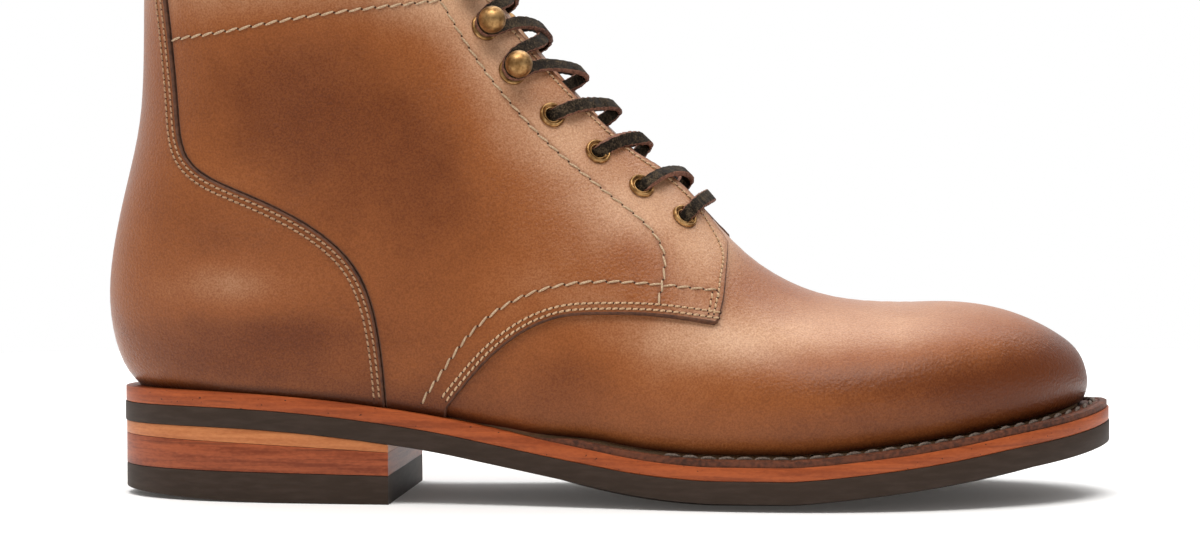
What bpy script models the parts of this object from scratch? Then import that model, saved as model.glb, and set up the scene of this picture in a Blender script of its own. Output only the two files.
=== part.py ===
"""Service boot for the right foot: a plain-toe derby boot on a welted, layered sole with a stacked heel.

Sizes are in millimetres and become metres where a mesh is made. In the working frame X runs from the back
of the outsole to the toe, +Y points to the inner (medial) side and Z = 0 is the floor. An empty at the end
moves the whole boot so that its origin is on the floor under the middle of its box.
"""

import math

import bmesh
import bpy
import numpy as np
from mathutils import Vector
from mathutils.bvhtree import BVHTree

MM = 0.001
GAP = 0.3  # room between pieces that meet

# Driving dimensions of the sole
SOLE_LENGTH = 300.0
TOE_TIP_Y = 7.0
OUTSOLE_THICK, OUTSOLE_FRONT = 5.8, 6.5  # at the heel, and under the ball
MIDSOLE_THICK, MIDSOLE_FRONT = 4.4, 3.8
MIDSOLE_INSET = 0.4
WELT_THICK = 2.4
WELT_INSET = 1.2
WELT_START, WELT_FULL = 124.0, 150.0
INSOLE_THICK = 3.0
SOLE_DOME = 2.4  # how far the edges of the tread stand above its middle at the ball
FLAT_SHARE = 0.62  # how much of its width is flat before the edges rise

# Driving dimensions of the heel
HEEL_BREAST_X = 85.0
HEEL_BREAST_SLANT = 2.4  # how much further forward the breast is on the inner side
HEEL_INSET = 0.8
TOP_PIECE_BACK, TOP_PIECE_FRONT = 9.4, 8.5
LIFT_SPLIT_BACK, LIFT_SPLIT_FRONT = 18.6, 15.4
HEEL_BEVEL, HEEL_BEVEL_LENGTH = 2.2, 48.0  # the back of the heel is cut up from the floor

# Driving dimensions of the upper
UPPER_WALL = 1.8
QUARTER_THICK = 1.4
COUNTER_THICK = 1.9
TONGUE_THICK = 2.0
QUARTER_OUT = GAP + QUARTER_THICK
COUNTER_OUT = GAP + COUNTER_THICK
FACING_HALF_GAP = 9.5  # from the middle of the throat to the edge of a quarter
THROAT_HALF_GAP = 10.5
COUNTER_FOOT = 32.0  # below this height the counter's seam runs straight down

# Hardware and laces
EYELET_HOLE_R, EYELET_BARREL_R, EYELET_FLANGE_R = 2.15, 2.5, 4.0
CUT_HOLE_R = 2.85
HOOK_BASE_R, HOOK_NECK_R, HOOK_BALL_R = 4.3, 1.5, 3.8
HOOK_BALL_HEIGHT = 5.6
LACE_WIDE, LACE_THICK = 3.4, 2.0

# Plan of the outsole: half-widths at stations along its length
SOLE_COLUMNS = ("x", "lateral", "medial")
SOLE_ROWS = (
    (3.5, -11.8, 11.8),
    (13.0, -21.5, 21.5),
    (32.0, -30.0, 29.6),
    (60.0, -34.6, 33.2),
    (90.0, -37.0, 32.8),
    (120.0, -40.3, 31.6),
    (150.0, -45.5, 33.8),
    (180.0, -50.8, 40.5),
    (205.0, -52.8, 47.3),
    (230.0, -51.0, 51.0),
    (252.0, -44.8, 49.3),
    (272.0, -34.5, 42.5),
    (287.0, -21.5, 33.0),
    (296.0, -8.5, 22.0),
)

# Side view of the tread: heel seat, arch, flat under the ball, toe spring
TREAD_COLUMNS = ("x", "z")
TREAD_ROWS = (
    (0.0, 22.4),
    (40.0, 22.0),
    (62.0, 20.5),
    (85.0, 17.8),
    (115.0, 12.4),
    (142.0, 5.2),
    (165.0, 1.1),
    (182.0, -0.1),
    (202.0, -0.1),
    (222.0, 1.6),
    (248.0, 4.9),
    (276.0, 10.2),
    (300.0, 16.2),
)

# How far the upper's lower edge lies inside the outsole
FEATHER_COLUMNS = ("x", "inset")
FEATHER_ROWS = (
    (0.0, 5.6),
    (7.0, 5.5),
    (20.0, 4.3),
    (50.0, 2.8),
    (90.0, 3.3),
    (130.0, 4.2),
    (170.0, 6.2),
    (300.0, 6.6),
)

# Sections of the foot, from the toe back. Each stands on the row of the sole plan with the same number:
# its ridge point, the share of its height where it is widest, how far out it is there, and how full its
# shoulders are.
FOOT_COLUMNS = ("sole_row", "ridge_x", "ridge_z", "ridge_y", "side_share", "side_lat", "side_med", "full")
FOOT_ROWS = (
    (13, 291.6, 41.0, 6.8, 0.40, -6.1, 19.4, 0.58),
    (12, 285.0, 47.9, 6.6, 0.38, -18.1, 29.0, 0.60),
    (11, 270.5, 54.9, 6.4, 0.34, -30.2, 37.7, 0.62),
    (10, 251.2, 58.1, 6.2, 0.32, -39.7, 43.9, 0.60),
    (9, 231.0, 57.5, 6.0, 0.32, -45.6, 45.5, 0.56),
    (8, 209.8, 60.2, 5.0, 0.29, -47.7, 42.4, 0.52),
    (7, 190.5, 71.4, 3.6, 0.25, -46.6, 36.9, 0.50),
    (6, 174.0, 90.2, 2.2, 0.23, -42.8, 32.4, 0.50),
    (5, 157.0, 106.0, 1.2, 0.23, -38.6, 31.2, 0.51),
    (4, 143.0, 120.0, 0.6, 0.25, -35.4, 31.9, 0.53),
    (3, 132.0, 132.0, 0.3, 0.31, -33.9, 32.8, 0.55),
    (2, 123.5, 142.2, 0.1, 0.36, -33.8, 33.3, 0.56),
    (1, 118.5, 148.3, 0.0, 0.39, -34.0, 33.7, 0.56),
    (0, 115.5, 152.0, 0.0, 0.41, -34.2, 34.0, 0.56),
)

# Sections of the leg, from the heel seat up: back point, front point, widest share and half-width there.
# The first stands on the heel tip, the last but one is the collar and the last only carries the tongue.
LEG_COLUMNS = ("back_x", "back_z", "front_x", "front_z", "side_share", "half_lat", "half_med", "full")
LEG_ROWS = (
    (5.6, 33.2, 113.5, 154.5, 0.42, 34.4, 34.2, 0.56),
    (0.6, 43.0, 111.2, 157.5, 0.43, 34.7, 34.5, 0.56),
    (-2.2, 58.0, 109.0, 160.4, 0.44, 34.9, 34.7, 0.56),
    (-0.6, 76.0, 106.8, 163.4, 0.455, 35.0, 34.8, 0.56),
    (3.4, 94.0, 104.7, 166.3, 0.47, 35.1, 34.9, 0.56),
    (7.3, 112.0, 102.7, 169.1, 0.48, 35.3, 35.1, 0.56),
    (8.7, 131.0, 100.9, 171.7, 0.49, 35.5, 35.3, 0.56),
    (9.0, 149.0, 99.5, 173.8, 0.50, 35.8, 35.6, 0.56),
    (9.2, 166.0, 98.3, 175.7, 0.50, 36.2, 36.0, 0.56),
    (9.2, 180.0, 96.6, 188.0, 0.50, 36.6, 36.4, 0.56),
)
COLLAR_ROW = len(LEG_ROWS) - 2

# Seam lines in side view, as (x, z)
COUNTER_EDGE = (
    (15.5, 172.0),
    (20.1, 138.0),
    (22.5, 115.2),
    (25.5, 102.3),
    (40.5, 92.7),
    (60.4, 82.9),
    (74.9, 70.1),
    (82.0, 50.0),
    (84.5, 20.0),
)
WING_EDGE = (
    (102.6, 29.0),
    (108.5, 36.0),
    (115.9, 44.0),
    (124.8, 50.8),
    (136.5, 55.5),
    (148.2, 56.3),
    (162.7, 55.9),
    (182.1, 53.0),
)
QUARTER_FRONT = ((183.8, 60.0), (184.4, 76.1), (183.4, 82.0), (180.0, 90.0))

# Eyelets from the lowest up, then hooks, as (x, z) in side view
EYELETS = ((171.1, 83.5), (158.5, 92.6), (145.5, 103.0), (131.9, 114.1))
HOOKS = ((119.9, 127.2), (111.6, 140.4), (104.5, 154.0))

# Fineness of the faceted solids
SOLE_STEPS = 36
STATION_GAP = 14.0
LOW_STEPS, HIGH_STEPS = 4, 6
ROUND_SIDES = 10


def spline(knots, rows):
    """Natural cubic spline through the rows, as a function of the knots."""
    knots = np.asarray(knots, float)
    rows = np.asarray(rows, float).reshape(len(knots), -1)
    step = np.diff(knots)
    slope = np.diff(rows, axis=0) / step[:, None]
    system = np.eye(len(knots))
    right = np.zeros_like(rows)
    for i in range(1, len(knots) - 1):
        system[i, i - 1 : i + 2] = step[i - 1], 2 * (step[i - 1] + step[i]), step[i]
        right[i] = 6 * (slope[i] - slope[i - 1])
    bend = np.linalg.solve(system, right)

    def at(t):
        t = np.clip(np.atleast_1d(np.asarray(t, float)), knots[0], knots[-1])
        i = np.clip(np.searchsorted(knots, t, side="right") - 1, 0, len(step) - 1)
        width = step[i][:, None]
        a = (knots[i + 1] - t)[:, None] / width
        b = 1 - a
        curve = ((a**3 - a) * bend[i] + (b**3 - b) * bend[i + 1]) * width**2 / 6
        return a * rows[i] + b * rows[i + 1] + curve

    return at


def along(points):
    """Running length at each point of a chain."""
    steps = np.linalg.norm(np.diff(points, axis=0), axis=1)
    return np.concatenate([[0.0], np.cumsum(steps)])


def ease(x, start, end):
    """0 before start, 1 after end, smooth between."""
    share = np.clip((np.asarray(x, float) - start) / (end - start), 0, 1)
    return share * share * (3 - 2 * share)


def unit(vectors):
    return vectors / np.maximum(np.linalg.norm(vectors, axis=-1, keepdims=True), 1e-9)


# Sole plan


def sole_loop():
    """Control points of the outsole's plan: heel tip, outer side, toe tip and inner side."""
    lateral = [(x, y) for x, y, _ in SOLE_ROWS]
    medial = [(x, y) for x, _, y in reversed(SOLE_ROWS)]
    return np.array([(0.0, 0.0), *lateral, (SOLE_LENGTH, TOE_TIP_Y), *medial])


LOOP = sole_loop()
WRAP = 4
_closed = np.vstack([LOOP[-WRAP:], LOOP, LOOP[: WRAP + 1]])
_length = along(_closed)
_length = _length - _length[WRAP]
LOOP_AT = _length[WRAP : WRAP + len(LOOP)]
LOOP_LENGTH = _length[WRAP + len(LOOP)]
TOE_AT = LOOP_AT[len(SOLE_ROWS) + 1]
_plan = spline(_length, _closed)


def plan(t, inset=0.0):
    """Points of the sole plan at loop length t, moved inwards by inset."""
    t = np.asarray(t, float)
    tangent = unit(_plan(t + 0.05) - _plan(t - 0.05))
    inward = np.stack([-tangent[:, 1], tangent[:, 0]], axis=1)
    centre = np.array([SOLE_LENGTH / 2, 0.0])
    points = _plan(t)
    inward *= np.sign(np.sum(inward * unit(centre - points), axis=1))[:, None]
    return points + inward * np.reshape(inset, (-1, 1))


def feather_inset(t):
    return spline(*zip(*FEATHER_ROWS))(_plan(t)[:, 0])[:, 0]


_side_t = np.linspace(0, TOE_AT, 400)
_lateral_side = _plan(_side_t)
_medial_side = _plan(LOOP_LENGTH - _side_t * (LOOP_LENGTH - TOE_AT) / TOE_AT)
_tread = spline(*zip(*TREAD_ROWS))


def tread(x, y):
    """Height of the tread: the side view's curve, with edges that rise from the middle at the ball."""
    x, y = np.asarray(x, float), np.asarray(y, float)
    low = np.interp(x, _lateral_side[:, 0], _lateral_side[:, 1])
    high = np.interp(x, _medial_side[:, 0], _medial_side[:, 1])
    share = np.clip((2 * y - low - high) / np.maximum(high - low, 1.0), -1, 1)
    dome = SOLE_DOME * ease(x, 108, 150) * ease(x, SOLE_LENGTH, 262)
    edge = np.clip((abs(share) - FLAT_SHARE) / (1 - FLAT_SHARE), 0, 1)
    return np.maximum(_tread(x.ravel())[:, 0].reshape(x.shape), 0) + dome * edge


def outsole_top(x, y):
    return tread(x, y) + OUTSOLE_THICK + (OUTSOLE_FRONT - OUTSOLE_THICK) * ease(x, 125, 180)


def midsole_top(x, y):
    thick = MIDSOLE_THICK + (MIDSOLE_FRONT - MIDSOLE_THICK) * ease(x, 125, 180)
    return outsole_top(x, y) + GAP + thick


def welt_thick(x):
    return WELT_THICK * ease(x, WELT_START, WELT_FULL)


def seat(x, y):
    """Height of the upper's lower edge: on the midsole, or on the welt where that runs."""
    return midsole_top(x, y) + GAP + welt_thick(x) + 2 * GAP * ease(x, WELT_START - 14, WELT_START)


# Form of the upper


def bezier(points, t):
    """Cubic through four arrays of control points, at the shares t."""
    p0, p1, p2, p3 = (p[:, None, :] for p in points)
    t = np.asarray(t, float)
    t = (t if t.ndim == 2 else t[None, :])[..., None]
    return p0 * (1 - t) ** 3 + 3 * p1 * t * (1 - t) ** 2 + 3 * p2 * t**2 * (1 - t) + p3 * t**3


NEAR = 0.4  # step along the sections that a direction is taken over
BACK_FULL = 0.98  # the lower arcs are this much flatter than an ellipse
TIP_SINE = 0.95  # steepest start of a section: the sine of its place on the ellipse


class Form:
    """The last and leg as one surface: sections run from the lower edge or back, over the ridge and down."""

    def __init__(self):
        foot_t = [LOOP_AT[row[0] + 1] for row in FOOT_ROWS]
        mirror_t = [LOOP_AT[len(LOOP) - 1 - row[0]] for row in FOOT_ROWS]
        lat = plan(np.array([TOE_AT, *foot_t, 0.0]), feather_inset([TOE_AT, *foot_t, 0.0]))
        med = plan(np.array([TOE_AT, *mirror_t, 0.0]), feather_inset([TOE_AT, *mirror_t, 0.0]))
        tip_z = float(seat(*lat[0][:, None])[0])
        ridge, side_lat, side_med, full = [], [], [], []
        tip = (lat[0][0], lat[0][1], tip_z)
        ridge.append(tip)
        side_lat.append(tip)
        side_med.append(tip)
        full.append(FOOT_ROWS[0][-1])
        for row, low, high in zip(FOOT_ROWS, lat[1:], med[1:]):
            _, x, z, y, share, out_lat, out_med, fullness = row
            for chain, start, out in ((side_lat, low, out_lat), (side_med, high, out_med)):
                base_z = float(seat(*start[:, None])[0])
                chain.append((start[0] + share * (x - start[0]), out, base_z + share * (z - base_z)))
            ridge.append((x, y, z))
            full.append(fullness)
        self.heel = len(ridge)
        back = []
        for back_x, back_z, x, z, share, half_lat, half_med, fullness in LEG_ROWS:
            back.append((back_x, 0.0, back_z))
            ridge.append((x, 0.0, z))
            side_lat.append((back_x + share * (x - back_x), -half_lat, back_z + share * (z - back_z)))
            side_med.append((back_x + share * (x - back_x), half_med, back_z + share * (z - back_z)))
            full.append(fullness)
        ridge, side_lat, side_med = (np.array(p) for p in (ridge, side_lat, side_med))
        steps = along(ridge) * 0.5 + along(side_lat) * 0.5
        self.knots = steps
        self.heel_at, self.collar_at = steps[self.heel], steps[self.heel + COLLAR_ROW]
        lat[-1] = med[-1] = back[0][:2]
        self.ridge = self._from_tip(ridge)
        self.side_lat = self._from_tip(side_lat)
        self.side_med = self._from_tip(side_med)
        self.full = spline(steps, full)
        foot = steps[: self.heel + 1]
        self.low_lat = self._both_ends(foot, lat)
        self.low_med = self._both_ends(foot, med)
        self.back = spline(steps[self.heel :], back)
        low = (self.lower(steps, self.low_lat) + self.lower(steps, self.low_med)) / 2
        axes = unit((ridge - low) * (1, 0, 1))
        axes[0] = axes[1]
        self.axis = spline(steps, axes)

    def _from_tip(self, rows):
        """Spline whose toe end closes round: a row is mirrored ahead of the tip."""
        ahead = 2 * rows[0] - rows[1]
        ahead[0] = rows[1][0]
        return spline([-self.knots[1], *self.knots], np.vstack([ahead, rows]))

    def _both_ends(self, knots, rows):
        """Plan chain from toe tip to heel tip that closes round at both ends."""
        ahead, behind = 2 * rows[0] - rows[1], 2 * rows[-1] - rows[-2]
        ahead[0], behind[0] = rows[1][0], rows[-2][0]
        ends = [-knots[1], *knots, 2 * knots[-1] - knots[-2]]
        return spline(ends, np.vstack([ahead, rows, behind]))

    def lower(self, s, chain):
        """Where a section starts: on the sole's edge along the foot, on the back line up the leg."""
        edge = chain(np.minimum(s, self.heel_at))
        on_sole = np.column_stack([edge, seat(edge[:, 0], edge[:, 1])])
        on_leg = self.back(np.maximum(s, self.heel_at))
        return np.where((s < self.heel_at - 1e-6)[:, None], on_sole, on_leg)

    def half(self, s, chain, side, low, high):
        """One side of each section: an ellipse cut off by the sole up to its widest point, then a shoulder."""
        start, wide, top = self.lower(s, chain), side(s), self.ridge(s)
        middle = (self.side_lat(s) + self.side_med(s))[:, 1] / 2
        half_wide = np.maximum(abs(wide[:, 1] - middle), 1e-6)
        sine = np.where(half_wide < 1, TIP_SINE, np.clip(abs(start[:, 1] - middle) / half_wide, 0, TIP_SINE))
        sine = np.where(s < self.heel_at - 1e-6, sine, 0)[:, None]
        cosine = np.sqrt(1 - sine**2)
        handle = 4 / 3 * np.tan((math.pi / 2 - np.arcsin(sine)) / 4)
        full, handle = self.full(s), BACK_FULL * handle
        axis = unit(self.axis(s))
        rise = axis * np.sum((wide - start) * axis, axis=1, keepdims=True)
        fall = axis * np.sum((top - wide) * axis, axis=1, keepdims=True)
        first = cosine / (1 - sine) * (wide - start - rise) + sine / cosine * rise
        below = bezier((start, start + handle * first, wide - handle / cosine * rise, wide), low)
        above = bezier((wide, wide + full * fall, top + full * (wide - top + fall), top), high)
        return np.concatenate([below, above[:, 1:]], axis=1)

    def grid(self, s, low_steps, high_steps):
        """Points of the surface, a row for each section, from the outer lower end over the ridge and down."""
        low, high = np.linspace(0, 1, low_steps + 1), np.linspace(0, 1, high_steps + 1)
        outer = self.half(s, self.low_lat, self.side_lat, low, high)
        inner = self.half(s, self.low_med, self.side_med, low, high)
        return np.concatenate([outer, inner[:, -2::-1]], axis=1)

    def normals(self, s, low_steps, high_steps):
        """Outward direction at each point of the grid with the same steps."""
        fine = 8
        here = self.grid(s, low_steps * fine, high_steps * fine)
        ring = s >= self.heel_at - 1e-6
        before = np.maximum(s - NEAR, np.where(ring, self.heel_at, 0))
        after = np.minimum(s + NEAR, np.where(ring, self.knots[-1], self.heel_at - 1e-5))
        along_s = self.grid(after, low_steps * fine, high_steps * fine)
        along_s = along_s - self.grid(before, low_steps * fine, high_steps * fine)
        around = np.gradient(here, axis=1)
        seam = here[:, 1] - here[:, -2]
        around[ring, 0] = around[ring, -1] = seam[ring]
        out = unit(np.cross(around, along_s))[:, ::fine]
        mean = unit(out[:, 0] + out[:, -1])
        out[ring, 0] = out[ring, -1] = mean[ring]
        out[s < 1e-6] = (1, 0, 0)
        return out


FORM = Form()


def stations(first, last, widest=STATION_GAP):
    """Section places from first to last: every row of the tables, and more where rows are far apart."""
    inside = FORM.knots[(FORM.knots > first + 1e-6) & (FORM.knots < last - 1e-6)]
    ends = np.concatenate([[first], inside, [last]])
    fine = [np.linspace(a, b, math.ceil((b - a) / widest) + 1)[:-1] for a, b in zip(ends, ends[1:])]
    return np.concatenate([*fine, [last]])


# Mesh helpers


def add_object(name, mesh, material=None):
    obj = bpy.data.objects.new(name, mesh)
    bpy.context.scene.collection.objects.link(obj)
    if material:
        mesh.materials.append(material)
        mesh.shade_smooth()
        mesh.set_sharp_from_angle(angle=math.radians(35))
    return obj


def closed_mesh(name, points, faces):
    """One closed body from points in millimetres, with doubles welded and faces turned out."""
    bm = bmesh.new()
    verts = [bm.verts.new(Vector(p) * MM) for p in points]
    for face in faces:
        bm.faces.new([verts[i] for i in face])
    bmesh.ops.remove_doubles(bm, verts=bm.verts, dist=1e-6)
    bmesh.ops.dissolve_degenerate(bm, edges=bm.edges, dist=1e-7)
    bmesh.ops.recalc_face_normals(bm, faces=bm.faces)
    mesh = bpy.data.meshes.new(name)
    bm.to_mesh(mesh)
    bm.free()
    return mesh


def strip(first, second):
    """Quads between two chains of point numbers."""
    return [(a, b, d, c) for a, b, c, d in zip(first, first[1:], second, second[1:])]


def grid_faces(numbers):
    return [quad for first, second in zip(numbers, numbers[1:]) for quad in strip(list(first), list(second))]


def split(quads):
    """Each quad as two triangles, cut the same way in every form, so that offset forms stay parallel."""
    return [corner for a, b, c, d in quads for corner in ((a, b, c), (a, c, d))]


def patch_solid(name, outer, inner):
    """Solid between two grids of points with open edges."""
    shape = outer.shape[:2]
    top = np.arange(shape[0] * shape[1]).reshape(shape)
    low = top + top.size
    faces = grid_faces(top) + grid_faces(low)
    for edge in ((0, slice(None)), (-1, slice(None)), (slice(None), 0), (slice(None), -1)):
        faces += strip(list(top[edge]), list(low[edge]))
    return closed_mesh(name, np.vstack([outer.reshape(-1, 3), inner.reshape(-1, 3)]), split(faces))


def shell(name, outer_by, inner_by):
    """Hollow body between two offsets of the form, open at the collar and underneath."""
    s = stations(0.0, FORM.collar_at)
    grid = FORM.grid(s, LOW_STEPS, HIGH_STEPS)
    out = FORM.normals(s, LOW_STEPS, HIGH_STEPS)
    outer, inner = grid + out * outer_by, grid + out * inner_by
    shape = grid.shape[:2]
    top = np.arange(shape[0] * shape[1]).reshape(shape)
    low = top + top.size
    heel = int(np.argmin(abs(s - FORM.heel_at)))
    faces = grid_faces(top) + grid_faces(low) + strip(list(top[-1]), list(low[-1]))
    for side in (0, -1):
        faces += strip(list(top[: heel + 1, side]), list(low[: heel + 1, side]))
    faces = split(faces)
    return closed_mesh(name, np.vstack([outer.reshape(-1, 3), inner.reshape(-1, 3)]), faces)


def slab(name, lateral, medial, bottom, top, shares, breast=False):
    """Solid between two height functions on the plan between two chains that meet at the heel tip, and at the
    toe tip too unless the front is a flat breast."""
    rows = []
    for a, b in zip(lateral, medial):
        rows.append([(a + b) / 2 + share * (b - a) / 2 for share in shares])
    rows = np.array(rows)
    shape = rows.shape[:2]
    heights = []
    for height in (bottom, top):
        heights.append(np.concatenate([rows, height(rows[..., 0], rows[..., 1])[..., None]], axis=2))
    low = np.arange(shape[0] * shape[1]).reshape(shape)
    high = low + low.size
    faces = grid_faces(low) + grid_faces(high)
    for side in (0, -1):
        faces += strip(list(low[:, side]), list(high[:, side]))
    if breast:
        faces += strip(list(low[-1]), list(high[-1]))
    return closed_mesh(name, np.vstack([h.reshape(-1, 3) for h in heights]), faces)


def turned(name, profile, origin, axis):
    """Ring turned from a closed profile of (radius, height), standing at origin along axis."""
    sides = np.arange(ROUND_SIDES) * 2 * math.pi / ROUND_SIDES
    rings = np.array([[(r * math.cos(a), r * math.sin(a), h) for a in sides] for r, h in profile])
    numbers = np.arange(rings.shape[0] * ROUND_SIDES).reshape(-1, ROUND_SIDES)
    numbers = np.hstack([numbers, numbers[:, :1]])
    faces = grid_faces(numbers)
    if profile[0][0] > 0:
        faces += strip(list(numbers[-1]), list(numbers[0]))
    turn = np.array(Vector((0, 0, 1)).rotation_difference(Vector(axis)).to_matrix())
    points = rings.reshape(-1, 3) @ turn.T + np.asarray(origin)
    return closed_mesh(name, points, faces)


def prism(name, outline, low_y, high_y):
    """Cutter: an outline in side view, run across from low_y to high_y."""
    count = len(outline)
    points = [(x, y, z) for y in (low_y, high_y) for x, z in outline]
    ring = list(range(count)) + [0]
    faces = [tuple(range(count)), tuple(range(count, 2 * count))]
    faces += strip(ring, [i + count for i in ring])
    return cutter(name, closed_mesh(name, points, faces))


def cutter(name, mesh):
    obj = add_object(name, mesh)
    obj.hide_render = True
    obj.display_type = "WIRE"
    return obj


def boolean(obj, tool, operation):
    modifier = obj.modifiers.new(tool.name, "BOOLEAN")
    modifier.operation = operation
    modifier.object = tool
    modifier.solver = "EXACT"


def paint(name, colour, roughness, metallic=0.0):
    material = bpy.data.materials.new(name)
    material.use_nodes = True
    shader = material.node_tree.nodes["Principled BSDF"]
    shader.inputs["Base Color"].default_value = (*colour, 1)
    shader.inputs["Roughness"].default_value = roughness
    shader.inputs["Metallic"].default_value = metallic
    return material


def chains(inset, count=SOLE_STEPS, ends=None):
    """Outer and inner plan chains from the heel tip to the toe tip, or to the x of a flat front."""
    sides = []
    for number, first in enumerate((0.0, LOOP_LENGTH)):
        last = TOE_AT
        if ends is not None:
            t = np.linspace(first, (first + TOE_AT) / 2, 400)
            last = np.interp(ends[number], plan(t, np.full(t.shape, float(inset)))[:, 0], t)
        t = np.linspace(first, last, count + 1)
        amount = inset(t) if callable(inset) else np.full(t.shape, float(inset))
        sides.append(plan(t, amount))
    sides[1][0] = sides[0][0]
    if ends is None:
        sides[1][-1] = sides[0][-1]
    return sides


def smooth_line(points, count):
    """Evenly spaced points on a smooth line through a few."""
    points = np.array(points)
    length = along(points)
    return spline(length, points)(np.linspace(0, length[-1], count))


# Pieces of the sole

TREAD_SHARES = (-1.0, -FLAT_SHARE, FLAT_SHARE, 1.0)
FLAT_SHARES = (-1.0, 0.0, 1.0)


def make_outsole(material):
    lateral, medial = chains(0.0)
    return add_object("outsole", slab("outsole", lateral, medial, tread, outsole_top, TREAD_SHARES), material)


def make_midsole(material):
    lateral, medial = chains(MIDSOLE_INSET)
    mesh = slab("midsole", lateral, medial, lambda x, y: outsole_top(x, y) + GAP, midsole_top, TREAD_SHARES)
    return add_object("midsole", mesh, material)


def make_insole(material):
    lateral, medial = chains(lambda t: feather_inset(t) + UPPER_WALL + 6 * GAP)
    mesh = slab(
        "insole",
        lateral,
        medial,
        lambda x, y: midsole_top(x, y) + GAP,
        lambda x, y: midsole_top(x, y) + GAP + INSOLE_THICK,
        FLAT_SHARES,
    )
    return add_object("insole", mesh, material)


def make_welt(material):
    """Strip on the midsole's rim, from the waist round the toe to the waist, thinned at its ends."""
    x = _plan(np.linspace(0, TOE_AT, 400))[:, 0]
    start = np.interp(WELT_START + 4, x, np.linspace(0, TOE_AT, 400))
    t_in = np.linspace(LOOP_LENGTH, TOE_AT, 400)
    end = np.interp(WELT_START + 4, _plan(t_in)[:, 0], t_in)
    t = np.linspace(start, end, 2 * SOLE_STEPS - 16)
    outer, inner = plan(t, np.full(t.shape, WELT_INSET)), plan(t, feather_inset(t))
    chain = []
    for edge in (outer, inner):
        low = midsole_top(edge[:, 0], edge[:, 1]) + GAP
        for z in (low, low + welt_thick(edge[:, 0])):
            chain.append(np.column_stack([edge, z]))
    ring = np.stack([chain[0], chain[1], chain[3], chain[2]], axis=1)
    numbers = np.arange(ring.shape[0] * 4).reshape(-1, 4)
    faces = grid_faces(np.hstack([numbers, numbers[:, :1]]))
    faces += [tuple(numbers[0]), tuple(numbers[-1])]
    return add_object("welt", closed_mesh("welt", ring.reshape(-1, 3), faces), material)


def make_heel(light_leather, leather, rubber):
    """Top piece on the floor and two leather lifts, the upper one a wedge under the outsole."""

    def floor(x, y):
        return HEEL_BEVEL * np.clip(1 - x / HEEL_BEVEL_LENGTH, 0, 1) ** 1.4

    def sloped(back, front):
        return lambda x, y: back + (front - back) * (np.asarray(x) / HEEL_BREAST_X) ** 1.6

    layers = (
        ("heel_top_piece", floor, sloped(TOP_PIECE_BACK, TOP_PIECE_FRONT), rubber),
        (
            "heel_lift_lower",
            sloped(TOP_PIECE_BACK + GAP, TOP_PIECE_FRONT + GAP),
            sloped(LIFT_SPLIT_BACK, LIFT_SPLIT_FRONT),
            leather,
        ),
        (
            "heel_lift_upper",
            sloped(LIFT_SPLIT_BACK + GAP, LIFT_SPLIT_FRONT + GAP),
            lambda x, y: tread(x, y) - GAP,
            light_leather,
        ),
    )
    lateral, medial = chains(HEEL_INSET, 14, (HEEL_BREAST_X, HEEL_BREAST_X + HEEL_BREAST_SLANT))
    for name, bottom, top, material in layers:
        add_object(name, slab(name, lateral, medial, bottom, top, FLAT_SHARES, breast=True), material)


# Pieces of the upper


def side_caster():
    """Finds the outer surface in side view: returns the point and outward normal at (x, z) on one side."""
    s = stations(0.0, FORM.knots[-1], 4.0)
    grid = FORM.grid(s, 16, 32)
    faces = grid_faces(np.arange(grid.shape[0] * grid.shape[1]).reshape(grid.shape[:2]))
    tree = BVHTree.FromPolygons([Vector(p) for p in grid.reshape(-1, 3)], faces)

    def find(x, z, side):
        point, normal, _, _ = tree.ray_cast(Vector((x, side * 200.0, z)), Vector((0, -side, 0)))
        if normal.y * side < 0:
            normal.negate()
        return np.array(point), np.array(normal)

    return find


LATERAL, MEDIAL = -1, 1
SIDES = (("outer", LATERAL), ("inner", MEDIAL))


def eyelet_cutter(find, side, name):
    """Cylinders for the eyelet holes of one side, as one cutter."""
    points, faces = [], []
    angles = np.arange(ROUND_SIDES) * 2 * math.pi / ROUND_SIDES
    for x, z in EYELETS:
        centre, out = find(x, z, side)
        turn = np.array(Vector((0, 0, 1)).rotation_difference(Vector(out)).to_matrix())
        first = len(points)
        for height in (-4.5, 4.5):
            for angle in angles:
                local = np.array((CUT_HOLE_R * math.cos(angle), CUT_HOLE_R * math.sin(angle), height))
                points.append(turn @ local + centre)
        ring = [first + i for i in range(ROUND_SIDES)]
        far = [i + ROUND_SIDES for i in ring]
        faces += strip(ring + ring[:1], far + far[:1]) + [tuple(ring), tuple(far)]
    return cutter(name, closed_mesh(name, points, faces))


def throat_outline():
    """Side view of the slot between the facings, from the vamp's top edge up past the collar."""
    return ((184.5, 70.0), (168.0, 56.0), (70.0, 150.0), (70.0, 205.0), (150.0, 205.0), (215.0, 100.0))


def foot_line(first, last, count):
    """Side view of the line just above the midsole where an overlay stops."""
    return [(x, float(midsole_top(x, 0)) + 2 * GAP) for x in np.linspace(first, last, count)]


def make_upper(material, holes):
    upper = add_object("upper", shell("upper", 0.0, -UPPER_WALL), material)
    boolean(upper, prism("cut_throat", throat_outline(), -THROAT_HALF_GAP, THROAT_HALF_GAP), "DIFFERENCE")
    for tool in holes:
        boolean(upper, tool, "DIFFERENCE")
    return upper


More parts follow.
